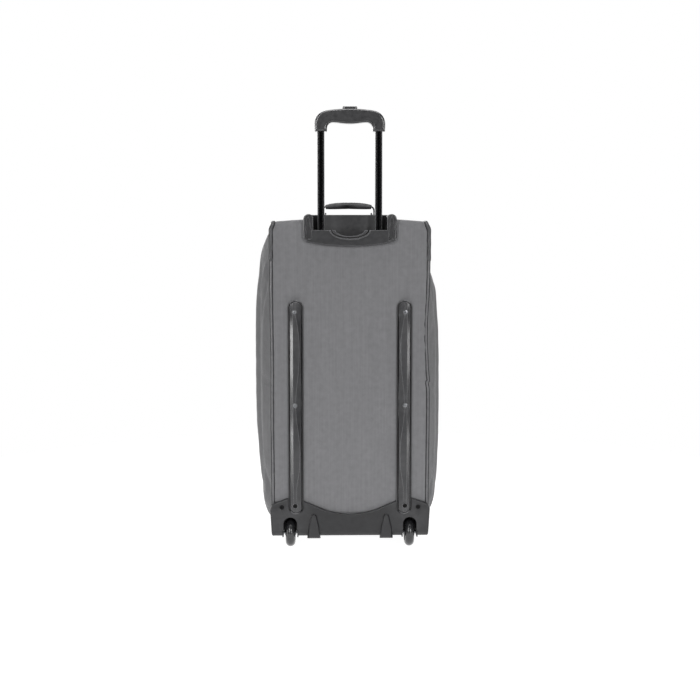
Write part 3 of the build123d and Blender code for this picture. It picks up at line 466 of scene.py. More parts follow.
def rounded(low, high, radii, step=5 * MM, inset=0.0):
    """A rounded rectangle from its low to its high corner, anticlockwise from the low corner's edge.
    Radii are for the corners low-low, high-low, high-high and low-high. Returns points and outward normals."""
    (x0, y0), (x1, y1) = np.array(low) + inset, np.array(high) - inset
    radii = [max(r - inset, 0.5 * MM) for r in radii]
    centres = [(x0 + radii[0], y0 + radii[0]), (x1 - radii[1], y0 + radii[1]),
               (x1 - radii[2], y1 - radii[2]), (x0 + radii[3], y1 - radii[3])]
    points, normals = [], []
    for k in range(4):
        (cx, cy), r = centres[k], radii[k]
        turns = max(3, int(round(r * math.pi / 2 / step)))
        for angle in np.linspace(math.pi + k * math.pi / 2, math.pi * 1.5 + k * math.pi / 2, turns + 1):
            n = np.array([math.cos(angle), math.sin(angle)])
            points.append(np.array([cx, cy]) + r * n)
            normals.append(n)
        start, end = points[-1], np.array(centres[(k + 1) % 4]) + radii[(k + 1) % 4] * n
        count = max(int(round(np.linalg.norm(end - start) / step)), 1)
        points += [start + (end - start) * i / count for i in range(1, count)]
        normals += [n] * (count - 1)
    return np.array(points), np.array(normals)


def inside(points, outline):
    """Which points lie inside a closed outline."""
    x, y = points[:, 0], points[:, 1]
    result = np.zeros(len(points), bool)
    for (ax, ay), (bx, by) in zip(outline, np.roll(outline, -1, 0)):
        crosses = (ay > y) != (by > y)
        with np.errstate(divide="ignore", invalid="ignore"):
            result ^= crosses & (x < (bx - ax) * (y - ay) / (by - ay) + ax)
    return result


def distance(points, outline, closed=True):
    """How far each point is from an outline."""
    a = outline if closed else outline[:-1]
    b = np.roll(outline, -1, 0) if closed else outline[1:]
    best = np.full(len(points), 1e9)
    for p, q in zip(a, b):
        d = q - p
        t = np.clip(((points - p) @ d) / max(d @ d, 1e-18), 0, 1)
        best = np.minimum(best, np.linalg.norm(points - (p + t[:, None] * d), axis=1))
    return best


def patch(outer, spacing, rings=(), holes=()):
    """An even triangle net that fills an outline, keeping out of the holes. Rings are more lines of points on it."""
    low, high = outer.min(0), outer.max(0)
    rows = np.arange(low[1] + spacing / 2, high[1], spacing * 0.87)
    lattice = np.array([(x, y) for i, y in enumerate(rows)
                        for x in np.arange(low[0] + (i % 2) * spacing / 2, high[0], spacing)])
    lattice = lattice[inside(lattice, outer)]
    for line in (outer, *rings, *holes):
        lattice = lattice[distance(lattice, line) > spacing * 0.62]
    loops, points, edges = [outer, *holes], [], []
    for loop in loops:
        start = len(points)
        points += [Vector(p) for p in loop]
        edges += [(start + i, start + (i + 1) % len(loop)) for i in range(len(loop))]
    for extra in (*rings, lattice):
        points += [Vector(p) for p in extra]
    verts, _, faces, *_ = delaunay_2d_cdt(points, edges, [], 1, 1e-7)
    verts = np.array([tuple(v) for v in verts])
    centres = np.array([verts[list(f)].mean(0) for f in faces])
    keep = inside(centres, outer)
    for hole in holes:
        keep &= ~inside(centres, hole)
    return verts, [tuple(f) for f, k in zip(faces, keep) if k]


def ripple(p, scale, seed=0.0):
    """Smooth noise from -1 to 1 at each point."""
    offset = Vector((seed * 7.3, seed * 3.1, seed * 5.7))
    return np.array([noise.noise(Vector(q) / scale + offset) for q in p])


def ease(t):
    """A smooth step from 0 to 1."""
    t = np.clip(t, 0, 1)
    return t * t * (3 - 2 * t)


CLOTH_FRAMES, STIFFNESS, BENDING, DAMPING = 20, 8.0, 0.4, 12.0


def settle(obj, held, pressure, slack, cap):
    """Runs a cloth simulation on a mesh whose held points stay, and keeps the result within cap of the start."""
    start = np.array([v.co for v in obj.data.vertices])
    group = obj.vertex_groups.new(name="held")
    group.add([int(i) for i in held], 1.0, "REPLACE")
    cloth = obj.modifiers.new("cloth", "CLOTH")
    s = cloth.settings
    s.quality, s.mass, s.air_damping = 6, 0.25, 4.0
    s.tension_stiffness = s.compression_stiffness = s.shear_stiffness = STIFFNESS
    s.bending_stiffness = BENDING
    s.tension_damping = s.compression_damping = s.shear_damping = DAMPING
    s.vertex_group_mass = "held"
    s.shrink_min = s.shrink_max = -slack
    s.use_pressure, s.uniform_pressure_force = True, pressure
    s.effector_weights.gravity = 0.0
    cloth.collision_settings.use_collision = False
    cloth.point_cache.frame_start, cloth.point_cache.frame_end = 1, CLOTH_FRAMES
    scene = bpy.context.scene
    for frame_number in range(1, CLOTH_FRAMES + 1):
        scene.frame_set(frame_number)
    result = obj.evaluated_get(bpy.context.evaluated_depsgraph_get())
    moved = np.array([v.co for v in result.data.vertices]) - start
    obj.modifiers.remove(cloth)
    obj.vertex_groups.remove(group)
    length = np.linalg.norm(moved, axis=1)
    moved *= (cap * np.tanh(length / cap) / np.maximum(length, 1e-9))[:, None]
    obj.data.vertices.foreach_set("co", (start + moved).ravel())
    obj.data.update()
    scene.frame_set(1)


def relaxed(name, points, faces, cloth, body, node, held, pressure, slack, cap, thickness=CLOTH, centre=BAG_MIDDLE):
    """A cloth piece in place of a CAD node, relaxed by the simulation before it gets its thickness."""
    obj = make(name, points, faces, [cloth, LINING], body, ride=False)
    turn_outward(obj, centre)
    settle(obj, held, pressure, slack, cap)
    fabric_skin(obj, thickness)
    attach(obj, body)
    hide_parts(node)
    return obj


# -------- the band: back, top, front and bottom

SEAM_LOW = (BACK_Y, BOTTOM_Z)
SEAM_HIGH = (FRONT_Y, SHOULDER_Z)


def seam_loop(inset, step=4 * MM):
    """The side seam in the YZ plane, pulled in by inset. It runs from the rear bottom corner to the front."""
    return rounded(SEAM_LOW, SEAM_HIGH, CORNER_RADII, step, inset)


loop_points, loop_normals = seam_loop(0)
loop_along = travel(np.concatenate([loop_points, loop_points[:1]]))
LOOP = loop_along[-1]


def on_loop(s):
    """Point and outward normal of the seam loop at distances s along it."""
    s = np.mod(s, LOOP)
    columns = np.concatenate([loop_points, loop_normals], 1)
    columns = np.concatenate([columns, columns[:1]])
    values = np.stack([np.interp(s, loop_along, columns[:, k]) for k in range(4)], 1)
    return values[:, :2], unit(values[:, 2:])


def where(y, z):
    """The distance along the seam loop that is nearest to a place on it."""
    s = np.linspace(0, LOOP, 4000)
    p, _ = on_loop(s)
    return s[np.argmin((p[:, 0] - y) ** 2 + (p[:, 1] - z) ** 2)]


CORNER_IN, CORNER_DROP, CORNER_RISE = 5 * MM, 19 * MM, 16 * MM
CORNER_DEPTH, CORNER_FADE = 30 * MM, 60 * MM


def corner_round(y, z):
    """How far the seam comes in where it turns over the top rear corner."""
    over = ease((z - SHOULDER_Z + CORNER_DROP) / CORNER_RISE)
    return CORNER_IN * over * (1 - ease((y - BACK_Y - CORNER_DEPTH) / CORNER_FADE))


CROWN = TOP_Z - SHOULDER_Z
SEAM_DIP, SEAM_DIP_WIDTH = 2.6 * MM, 9 * MM
PUCKER, PUCKER_LENGTH = 0.5 * MM, 5.5 * MM


def band(x, s, seed):
    """The cloth of the band at x and s: crowned on top, dipping into the seams, slightly uneven."""
    p, n = on_loop(s)
    edge = PIPING_X - np.abs(x)
    up = np.clip(n[:, 1], 0, 1) ** 2
    rise = up * CROWN * (1 - (x / PIPING_X) ** 2)
    dip = SEAM_DIP * (1 - ease(edge / SEAM_DIP_WIDTH)) ** 2
    flat = np.stack([x * (1 - corner_round(p[:, 0], p[:, 1]) / PIPING_X), p[:, 0], p[:, 1]], 1)
    soft = ease(edge / (60 * MM))
    uneven = 0.7 * MM * ripple(flat * (1, 1, 0.45), 45 * MM, seed) + 0.35 * MM * ripple(flat, 17 * MM, seed + 1)
    puckers = PUCKER * np.sin(s / PUCKER_LENGTH + 3 * ripple(flat, 60 * MM, seed + 2))
    puckers = puckers * ease(edge / (4 * MM)) * (1 - ease(edge / (22 * MM)))
    height = rise - dip + uneven * soft + puckers - 0.4 * MM
    return flat + height[:, None] * np.stack([0 * x, n[:, 0], n[:, 1]], 1)


NET = 9 * MM  # the spacing of the cloth's points


def band_piece(name, start, end, seed, replaced, holes=()):
    """One panel of the band between two places along the seam."""
    half = PIPING_X
    across = np.linspace(-half, half, int(2 * half / NET) + 1)
    along = np.linspace(start, end, int((end - start) / NET) + 1)
    outer = np.concatenate([[(x, start) for x in across], [(half, s) for s in along[1:]],
                            [(x, end) for x in across[::-1][1:]], [(-half, s) for s in along[::-1][1:-1]]])
    near = [np.array([(sign * (half - d), s) for s in along for d in (2.5 * MM, 6 * MM)]) for sign in (-1, 1)]
    verts, faces = patch(outer, NET, near, holes)
    points = band(verts[:, 0], verts[:, 1], seed)
    obj = make(name, points, faces, [FABRIC, LINING], "bag")
    turn_outward(obj)
    fabric_skin(obj)
    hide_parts(*replaced)


BEZEL_LAP = 14 * MM  # how far the bezel laps over the cloth
REAR_HEM = where(BEZEL_HIGH[1] + BEZEL_LAP, SHOULDER_Z)
FRONT_TOP = where(FRONT_Y, SEAM_TOP_Z)
FRONT_BOTTOM = where(FRONT_Y, SEAM_BOTTOM_Z)
REAR_BOTTOM = where(BACK_Y, SEAM_BOTTOM_Z)
flap_hole, _ = rounded((FLAP_LOW[0], FLAP_LOW[2]), (FLAP_HIGH[0], FLAP_HIGH[2]),
                       (1 * MM, 1 * MM, FLAP_RADIUS, FLAP_RADIUS), 6 * MM, -1 * MM)
hole_along = np.stack([flap_hole[:, 0], FRONT_BOTTOM + flap_hole[:, 1] - SEAM_BOTTOM_Z], 1)

# the cloth is cut away under the handle bezel and round the two wheel wells
cut_x, cut_y, cut_z = BEZEL_HIGH[0] - 9 * MM, BEZEL_HIGH[1] - BEZEL_LAP, BEZEL_LOW[2] + 16 * MM
bezel_hole = rounded((-cut_x, where(cut_y, SHOULDER_Z)), (cut_x, where(BACK_Y, cut_z)), [10 * MM] * 4, NET)[0]
well_holes = []
for side in SIDES:
    well_low, well_high = box(f"wheel_well_{side}")
    well_holes.append(rounded((well_low[0] + 2 * MM, where(BACK_Y, well_high[2]) - LOOP),
                              (well_high[0] - 2 * MM, where(well_high[1], BOTTOM_Z)), [4 * MM] * 4, NET)[0])
band_piece("back_panel_cloth", REAR_HEM, REAR_BOTTOM, 1, ["back_panel"], [bezel_hole])
band_piece("top_panel_cloth", FRONT_TOP, REAR_HEM, 2, ["top_panel"])
band_piece("front_frame_cloth", FRONT_BOTTOM, FRONT_TOP, 3, ["front_frame"], [hole_along])
band_piece("bottom_panel_cloth", REAR_BOTTOM - LOOP, FRONT_BOTTOM, 4, ["bottom_panel"], well_holes)

# -------- side panels

# (height, half width) along each side's bulging outline, in millimetres: the two sides are filled unevenly
OUTLINES = {
    "left": [(43, 172), (60, 182), (77, 187), (90, 188.5), (116, 190), (143, 193.5), (196, 196.5), (249, 200),
             (328, 202.5), (461, 200.5), (514, 198), (567, 194.5), (600, 192), (620, 189), (646, 179), (670, 168),
             (685, 163)],
    "right": [(43, 168), (60, 176), (77, 184), (90, 188.5), (116, 191), (170, 193.5), (275, 195.5), (382, 195.5),
              (461, 193), (488, 191), (514, 189), (540, 186.5), (560, 181), (585, 173), (610, 167), (640, 165),
              (685, 163)],
}
# (depth, share of the full bulge)
PLAN = [(-166, 0.0), (-150, 0.10), (-130, 0.34), (-95, 0.64), (-60, 0.83), (-25, 0.96), (10, 1.0), (50, 0.93),
        (90, 0.72), (120, 0.42), (136, 0.18), (146, 0.0)]


def smooth_curve(table, at):
    """A smooth curve through (place, value) pairs given in millimetres or shares."""
    xs, ys = np.array(table, float).T
    slope = np.gradient(ys, xs)
    i = np.clip(np.searchsorted(xs, at) - 1, 0, len(xs) - 2)
    h = xs[i + 1] - xs[i]
    t = np.clip((at - xs[i]) / h, 0, 1)
    return ((2 * t ** 3 - 3 * t ** 2 + 1) * ys[i] + (t ** 3 - 2 * t ** 2 + t) * h * slope[i]
            + (-2 * t ** 3 + 3 * t ** 2) * ys[i + 1] + (t ** 3 - t ** 2) * h * slope[i + 1])


def side_panel(side, sign, seed):
    """One bulging side with its folds, worked out in millimetres."""
    outer, _ = seam_loop(1.5 * MM, 7 * MM)
    near = [seam_loop(d, 7 * MM)[0] for d in (5 * MM, 10 * MM)]
    verts, faces = patch(outer, 8 * MM, near)
    y, z = verts[:, 0] / MM, verts[:, 1] / MM
    room = distance(verts, outer) / MM
    full = smooth_curve(OUTLINES[side], z) - PIPING_X / MM
    share = smooth_curve(PLAN, y)
    ends = ease(room / 22)
    bulge = full * np.maximum(share, 0) * np.where(full > 0, ends ** 0.5, 1)
    bulge -= corner_round(verts[:, 0], verts[:, 1]) / MM * (1 - ease(room / 40))
    flat = np.stack([np.zeros(len(y)), y, z], 1)
    # long folds down the side, and short ones that fan out from the guard and the base
    wander = 9 * ripple(flat * (1, 1, 0.35), 90, seed)
    folds = 0.0
    for place, depth, width, low, high in FOLDS[side]:
        line = y - place[0] - (z - 341) / 300 * place[1] - wander
        reach = ease((z - low) / 70) * ease((high - z) / 70)
        folds = folds + depth * np.exp(-(line / width) ** 2) * reach
    fan = 0.0
    for (fy, fz), (dy, dz), depth, width, length in FANS[side]:
        ahead = (y - fy) * dy + (z - fz) * dz
        across = (y - fy) * dz - (z - fz) * dy
        reach = ease(ahead / 20) * ease((length - ahead) / (0.6 * length)) * (ahead > 0)
        fan = fan + depth * np.exp(-(across / (width * (0.5 + ahead / length))) ** 2) * reach
    soft = ease(room / 45)
    uneven = 1.6 * ripple(flat * (1, 1, 0.5), 70, seed + 1) + 0.5 * ripple(flat, 22, seed + 2)
    x = PIPING_X / MM - 1.0 + bulge + (folds + fan) * ease(room / 22) + uneven * soft
    points = np.stack([sign * x, y, z], 1) * MM
    relaxed(f"side_panel_{side}_cloth", points, faces, SHADED_SIDE_FABRIC, "bag", f"side_panel_{side}",
            np.flatnonzero(room < 0.5), pressure=0.6, slack=0.012, cap=3.0 * MM)


# (place in depth and drift over the height), height, width, lowest and highest z, all in millimetres
FOLDS = {
    "left": [((-78, 6), -4.5, 13, 70, 640), ((-48, 10), 3.0, 14, 120, 600), ((-118, -6), 2.2, 8, 60, 560),
             ((20, -12), -2.5, 20, 60, 640)],
    "right": [((-70, -8), -4.0, 12, 60, 560), ((-42, -8), 2.6, 13, 80, 600), ((-114, 4), 2.0, 8, 80, 470),
              ((30, 10), -2.5, 20, 60, 620)],
}
# start, direction, height, width and length of each short fold
FANS = {
    "left": [((-148, 600), (0.35, -0.94), -4, 7, 190), ((-140, 610), (0.62, -0.78), 3, 8, 170),
             ((-145, 92), (0.45, 0.89), -4.5, 7, 150), ((-130, 74), (0.75, 0.66), 3, 8, 120)],
    "right": [((-148, 604), (0.42, -0.91), -4, 8, 160), ((-148, 352), (0.8, -0.6), -2.5, 6, 60),
              ((-145, 92), (0.5, 0.87), -4.5, 7, 170), ((-128, 72), (0.8, 0.6), 3, 8, 110)],
}
side_panel("left", -1, 11)
side_panel("right", 1, 23)

# -------- piping and corner guards


def seam_wander(side, on_back, z):
    """How far a side's seam strays inward on the back, where the filling pushes it."""
    if side == "right":
        drift = 5.0 * np.exp(-((z - 455) / 75) ** 2) + 1.8 * np.exp(-((z - 352) / 10) ** 2) * np.sign(352 - z + 1e-9)
        drift += 1.2 * (1 - ease((z - 100) / 200))
    else:
        drift = 1.5 * np.exp(-((z - 380) / 90) ** 2) + 1.8 * (1 - ease((z - 100) / 260))
    return drift * on_back * MM


CORD_R, CORD_LIFT = 2.1 * MM, 1.9 * MM
FLANGE_WIDTH, FLANGE_LIFT = 1.6 * MM, 1.8 * MM
loop_fine, loop_fine_normals = seam_loop(3 * MM, 3 * MM)
on_back = (loop_fine_normals[:, 0] < -0.9).astype(float)
for side, sign in SIDES.items():
    z = loop_fine[:, 1] / MM
    x = sign * (PIPING_X - seam_wander(side, on_back, z))
    path = np.stack([x, loop_fine[:, 0], loop_fine[:, 1]], 1)
    ups = np.stack([0 * x, loop_fine_normals[:, 0], loop_fine_normals[:, 1]], 1)
    hidden = (path[:, 2] < BASE_HIGH[2] - 19 * MM) & (path[:, 1] < BASE_LOW[1] + 30 * MM)
    start = np.flatnonzero(hidden)[-1] + 1
    order = np.r_[start:len(path), 0:start]
    order = order[~hidden[order]]
    path, ups = path[order], ups[order]
    path[:, 0] -= sign * corner_round(path[:, 1], path[:, 2])
    cord = sweep(path + ups * CORD_LIFT, ring(2 * CORD_R, 2 * CORD_R, 14), ups)
    flange = sweep(path + ups * FLANGE_LIFT, ring(2 * CORD_R + 2 * FLANGE_WIDTH, 1.2 * MM, 12, 4), ups)
    piping = make(f"piping_{side}_cord", *cord, [PIPING], "bag")
    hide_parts(f"piping_{side}")
    # the flange is a real binding, and its dark colour is painted shade for the seam groove beside the cord
    make(f"piping_{side}_flange", *flange, [FLANGE_AND_SEAM_SHADE], "bag")

guard_low, guard_high = box("corner_guards")
GUARD_R, GUARD_LIFT, GUARD_ROW = 3.3 * MM, 0.9 * MM, 2.2 * MM
GUARD_EDGE, EDGE_THICK = 2.6 * MM, 1.6 * MM
sleeves, guard_edges, guard_rows = [], [], []
for sign in SIDES.values():
    chosen = (loop_fine[:, 1] > max(guard_low[2], SHOULDER_Z / 2)) & (loop_fine[:, 0] < guard_high[1])
    (y, z), n = loop_fine[chosen][::-1].T, loop_fine_normals[chosen][::-1]
    path = np.stack([sign * (PIPING_X - corner_round(y, z)), y, z], 1)
    ups = np.stack([0 * y, n[:, 0], n[:, 1]], 1)
    steps = np.arange(len(path))
    ends = ease((np.minimum(steps, steps[::-1]) + 1) / 2.5)
    wide = 2 * GUARD_R * (0.75 + 0.25 * ends) + 0.4 * MM * np.sin(np.linspace(0, 30, len(path)))
    raised = path + ups * GUARD_LIFT
    sleeves.append(sweep(raised, [ring(w, 2 * GUARD_R, 20, 2.4) for w in wide], ups))
    guard_edges.append(sweep(raised, [ring(w + GUARD_EDGE, EDGE_THICK, 12, 4) for w in wide], ups))
    for offset in (-GUARD_ROW, GUARD_ROW):
        guard_rows.append((path + ups * (GUARD_R * 0.82 + GUARD_LIFT) + np.array([offset, 0, 0]), ups))
guards = make("corner_guard_sleeves", *join(sleeves), [GUARD], "bag")
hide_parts("corner_guards")
# dark edges along the guards: a real binding, and painted shade for the grooves at their edges
make("corner_guard_edges_seam_shade", *join(guard_edges), [FLANGE_AND_SEAM_SHADE], "bag")

# -------- screws with a cross recess


def islands(node):
    """The box of each separate shell in a CAD node."""
    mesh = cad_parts[node].data
    label = np.arange(len(mesh.vertices))
    edges = np.array([e.vertices[:] for e in mesh.edges])
    while True:
        lowest = np.minimum(label[edges[:, 0]], label[edges[:, 1]])
        merged = label.copy()
        np.minimum.at(merged, edges[:, 0], lowest)
        np.minimum.at(merged, edges[:, 1], lowest)
        merged = merged[merged]
        if (merged == label).all():
            break
        label = merged
    points = np.array([v.co for v in mesh.vertices])
    return [(points[label == k].min(0), points[label == k].max(0)) for k in np.unique(label)]


def screw(low, high, slant):
    """A pan head facing the rear, with a cross recess turned by slant."""

    def placed(points, depth):
        return np.stack([x + points[:, 0], np.broadcast_to(face + depth, len(points)), z + points[:, 1]], 1)

    def dome(points):
        return 0.5 * MM * (np.linalg.norm(points, axis=1) / radius) ** 3

    radius = (high[0] - low[0]) / 2
    x, z, face = (low[0] + high[0]) / 2, (low[2] + high[2]) / 2, low[1]
    angle = np.linspace(0, 2 * math.pi, 28, endpoint=False)
    rim = np.stack([np.cos(angle), np.sin(angle)], 1) * radius * 0.92
    arm, half = radius * 0.56, radius * 0.13
    end = np.array([(arm, -half), (arm, half), (half, half)])
    cross = np.concatenate([end, end[:, ::-1] * (-1, 1), -end, end[:, ::-1] * (1, -1)])
    c, s = math.cos(slant), math.sin(slant)
    cross = cross @ np.array([(c, s), (-s, c)])
    verts, faces = patch(rim, radius * 0.22, (), [cross])
    faces = [f if np.cross(verts[f[1]] - verts[f[0]], verts[f[2]] - verts[f[0]]) > 0 else f[::-1] for f in faces]
    recess = np.concatenate([placed(cross, dome(cross)), placed(cross * 0.8, 1.2 * MM)])
    wall = [(i, (i + 1) % 12, 12 + (i + 1) % 12, 12 + i) for i in range(12)] + [tuple(range(12, 24))]
    skirts = np.concatenate([placed(rim * w, d * MM) for w, d in ((1.0, 0.39), (1.07, 0.9), (1.087, 2.6))])
    skirt = [(r * 28 + (j + 1) % 28, r * 28 + j, r * 28 + 28 + j, r * 28 + 28 + (j + 1) % 28)
             for r in range(2) for j in range(28)]
    return join([(placed(verts, dome(verts)), faces), (recess, wall), (skirts, skirt)])


rail_high = box("rail_left")[1][2]
bright, dark = [], []
for i, (low, high) in enumerate(sorted(islands("back_screws"), key=lambda b: (b[0][2], b[0][0]))):
    (bright if low[2] > rail_high / 3 else dark).append(screw(low, high, 0.35 + 1.1 * i))
for name, parts, finish in (("rail_screw_heads", bright, STEEL), ("base_screw_heads", dark, BLACKED)):
    heads = make(name, *join(parts), [finish], "bag")
    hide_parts("back_screws")

# -------- front flap, its zip and the hinge strip

flap_low, flap_high = FLAP_LOW[[0, 2]], FLAP_HIGH[[0, 2]]
FLAP_RADII = (2 * MM, 2 * MM, FLAP_RADIUS, FLAP_RADIUS)


def front_outline(grow, step=5 * MM):
    """The flap's outline on the front, grown outward."""
    radii = [max(r + grow, 0.6 * MM) for r in FLAP_RADII]
    if grow > 0:
        return rounded(flap_low - grow, flap_high + grow, radii, step)[0]
    return rounded(flap_low, flap_high, radii, step, -grow)[0]


def front_points(outline, y):
    """Places on the front, from (x, z) pairs and their depth."""
    return np.stack([outline[:, 0], np.broadcast_to(y, len(outline)), outline[:, 1]], 1)


def zip_line(grow, low, step=3 * MM):
    """The flap's outline as an open line, from the bottom left, over the top, to the bottom right."""
    line = front_outline(grow, step)
    line = line[line[:, 1] > low]
    angle = np.arctan2(line[:, 1] - low + 0.3, line[:, 0])
    return line[np.argsort(-angle)]


POCKETS = {name: box(f"{name}_pocket") for name in ("lower", "upper")}
flap_outer = front_outline(-0.4 * MM, 7 * MM)
verts, faces = patch(flap_outer, 9 * MM, [front_outline(-d, 7 * MM) for d in (4 * MM, 10 * MM)])
room = distance(verts, flap_outer)
flat = front_points(verts, 0.0)
swell = 2.2 * MM * ease((room - 9 * MM) / (40 * MM)) * (0.5 + 0.5 * ripple(flat, 90 * MM, 31))
swell += 0.5 * MM * ripple(flat, 25 * MM, 32) * ease((room - 9 * MM) / (20 * MM))
swell -= 1.0 * MM * (1 - ease(room / (3 * MM)))
relaxed("flap_cloth", front_points(verts, FLAP_HIGH[1] - 0.6 * MM + swell), faces, FABRIC, "flap", "main_flap",
        np.flatnonzero(room < 10 * MM), pressure=0.3, slack=0.006, cap=1.4 * MM, thickness=3.0 * MM)


def tape(name, edge, out, body, replaced, side):
    """One half of the main zip: a tape along the flap's outline, a coil on its free edge and a stitch row."""
    low = TAPE_LOW[2]
    path = front_points(zip_line((edge + out) / 2, low), TAPE_HIGH[1] - 0.75 * MM)
    strip = make(name, *sweep(path, ring(abs(out - edge), 1.1 * MM, 12, 6), UP_Y), [TAPE], body)
    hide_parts(replaced)
    coil_line, ahead = resample(front_points(zip_line(edge, low), TAPE_HIGH[1] + 0.1 * MM), 2.2 * MM)
    parts = []
    for p, a in zip(coil_line, ahead):
        p = p + a * side * 0.55 * MM
        reach = np.cross(a, UP_Y) * side
        loop = [p - reach * 2.6 * MM, p - reach * 0.8 * MM + UP_Y * 0.35 * MM, p + reach * 0.55 * MM]
        parts.append(sweep(loop, ring(0.85 * MM, 1.5 * MM, 6), UP_Y))
    make(f"{name}_teeth", *join(parts), [TEETH], body)
    rows = zip_line(out + (1.8 * MM if out < edge else -1.8 * MM), low)
    stitches(f"{name}_stitches", [(front_points(rows, TAPE_HIGH[1] + 0.1 * MM), UP_Y)], body)


TAPE_GAP, TAPE_WIDTH = 0.5 * MM, 9 * MM
tape("main_tape", TAPE_GAP, TAPE_GAP + TAPE_WIDTH, "bag", "main_zip_tape", -1)
tape("flap_tape", -0.2 * MM, -TAPE_WIDTH, "flap", "flap_zip_tape", 1)

hinge_z = FLAP_LOW[2]
hinge_path = np.array([(0, FRONT_Y - 0.2 * MM, z) for z in np.linspace(hinge_z - 13 * MM, hinge_z + 10 * MM, 12)])
hinge_path[:, 1] += 0.9 * MM * np.sin(np.linspace(0, math.pi, 12))
hinge_strip = ring(2 * (FLAP_HIGH[0] - 1 * MM), 1.6 * MM, 24, 10)
hinge = make("flap_hinge_strip", *sweep(hinge_path, hinge_strip, UP_Y), [WEBBING], "bag", ride=False)
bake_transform(hinge)

# -------- pockets

POCKET_CORNER, PLEAT, CORD_IN = 22 * MM, 14 * MM, 3.2 * MM
TAPE_OFF, ROW_OFF, ZIP_DROP, ZIP_END = 5.2 * MM, 7.4 * MM, 24 * MM, 18 * MM


def pocket(name, low, high, seed):
    """A pleated pocket: crowned front, rounded gusset and a flat stretch along its zip."""
    depth, root = high[1] - low[1] - 0.3 * MM, low[1] + 0.4 * MM

    def outline_at(inset, step):
        return rounded(low[[0, 2]], high[[0, 2]], [POCKET_CORNER] * 4, step, inset)[0]

    def gusset(room):
        """How far the cloth has risen at a distance from the outline."""
        return depth * np.sqrt(np.maximum(1 - (1 - np.clip(room / PLEAT, 0, 1)) ** 2.2, 0))

    outline = outline_at(0, 6 * MM)
    rings = [outline_at(d, 6 * MM) for d in (0.8 * MM, 2.6 * MM, 6 * MM, 11 * MM)]
    verts, faces = patch(outline, 8 * MM, rings)
    room = distance(verts, outline)
    flat = front_points(verts, 0.0)
    zip_z = high[2] - ZIP_DROP
    stiff = np.exp(-((verts[:, 1] - zip_z) / (16 * MM)) ** 2)
    crown = 6.0 * MM * ease(room / (70 * MM)) * (1 - stiff) * ease((zip_z + 4 * MM - verts[:, 1]) / (60 * MM))
    sag = 2.4 * MM * np.exp(-((verts[:, 1] - low[2] - 34 * MM) / (30 * MM)) ** 2) * ease(room / (30 * MM))
    uneven = 1.3 * MM * ripple(flat * (1, 1, 0.7), 55 * MM, seed) + 0.5 * MM * ripple(flat, 20 * MM, seed + 1)
    uneven = uneven * ease(room / (22 * MM)) * (1 - 0.9 * stiff)
    held = np.flatnonzero((room < 0.5 * MM) | ((abs(verts[:, 1] - zip_z) < 13 * MM) & (room > 12 * MM)))
    cloth = relaxed(f"{name}_pocket_cloth", front_points(verts, root + gusset(room) + crown + sag + uneven), faces,
                    FABRIC, "flap", f"{name}_pocket", held, pressure=0.8, slack=0.02, cap=2.6 * MM,
                    thickness=1.0 * MM, centre=Vector((0, low[1] - 0.3, (low[2] + high[2]) / 2)))
    # piping cord round the gusset's front edge
    cord_line = front_points(outline_at(CORD_IN, 4 * MM), root + gusset(CORD_IN))
    cord = sweep(cord_line, ring(2.6 * MM, 2.6 * MM, 10), UP_Y, closed=True)
    make(f"{name}_pocket_cord", *cord, [PIPING], "flap")
    # the zip: two tapes, a closed coil between them and a stitch row on each
    face = high[1]
    ends = (low[0] + ZIP_END, high[0] - ZIP_END)
    line = np.array([(x, face, zip_z) for x in np.linspace(*ends, 40)])
    strips = [sweep(line + UP_Z * s * TAPE_OFF + UP_Y * 0.55 * MM, ring(8 * MM, 1.1 * MM, 12, 6), UP_Y)
              for s in (-1, 1)]
    tapes = make(f"{name}_pocket_tapes", *join(strips), [TAPE], "flap")
    coil = []
    for i, x in enumerate(np.arange(ends[0] + 2 * MM, ends[1] - 2 * MM, 1.7 * MM)):
        s = 1 if i % 2 else -1
        p = np.array([x, face + 0.9 * MM, zip_z])
        loop = [p + UP_Z * s * 2.3 * MM, p + UP_Z * s * 0.6 * MM + UP_Y * 0.3 * MM, p - UP_Z * s * 0.9 * MM]
        coil.append(sweep(loop, ring(0.8 * MM, 1.3 * MM, 6), UP_Y))
    make(f"{name}_pocket_teeth", *join(coil), [TEETH], "flap")
    rows = [(line + UP_Z * s * ROW_OFF + UP_Y * 1.15 * MM, UP_Y) for s in (-1, 1)]
    stitches(f"{name}_pocket_stitches", rows, "flap")
    stops = join([sweep([(x - 2 * MM, face + 0.6 * MM, zip_z), (x + 2 * MM, face + 0.6 * MM, zip_z)],
                        ring(19 * MM, 2.2 * MM, 16, 5), UP_Y) for x in ends])
    make(f"{name}_pocket_zip_ends", *stops, [WEBBING], "flap")
    return tapes


tapes = [pocket(name, low, high, 41 + 7 * i) for i, (name, (low, high)) in enumerate(POCKETS.items())]
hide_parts("pocket_zips")

# -------- carry handle

strap_low, strap_high = box("carry_handle_straps")
grip_low, grip_high = box("carry_handle_grip")
PIN_Z = strap_low[2] + 4.2 * MM
GRIP_Z = (grip_low[2] + grip_high[2]) / 2
STRAP_X, STRAP_BEND, EYE_WIDTH = strap_high[0] - 3.5 * MM, 9 * MM, 8 * MM
BEND_Z = GRIP_Z - STRAP_BEND
across = np.linspace(-1, 1, 41)
grip_path = np.stack([across * grip_high[0], 0 * across, GRIP_Z + 2.6 * MM * (1 - across ** 2) - 1.2 * MM], 1)
swell = 1 - 0.34 * abs(across) ** 3.5 - 0.035 * np.exp(-(across / 0.05) ** 2)
grip_size = grip_high - grip_low
sections = np.stack([ring(grip_size[1] * (0.98 - 0.10 * abs(a) ** 3), grip_size[2] * 0.96 * w, 24, 2.4)
                     for a, w in zip(across, swell)])
pad = make("carry_grip_pad", *sweep(grip_path, sections, UP_Z), [GRIP_PAD], "carry_handle")
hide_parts("carry_handle_grip")
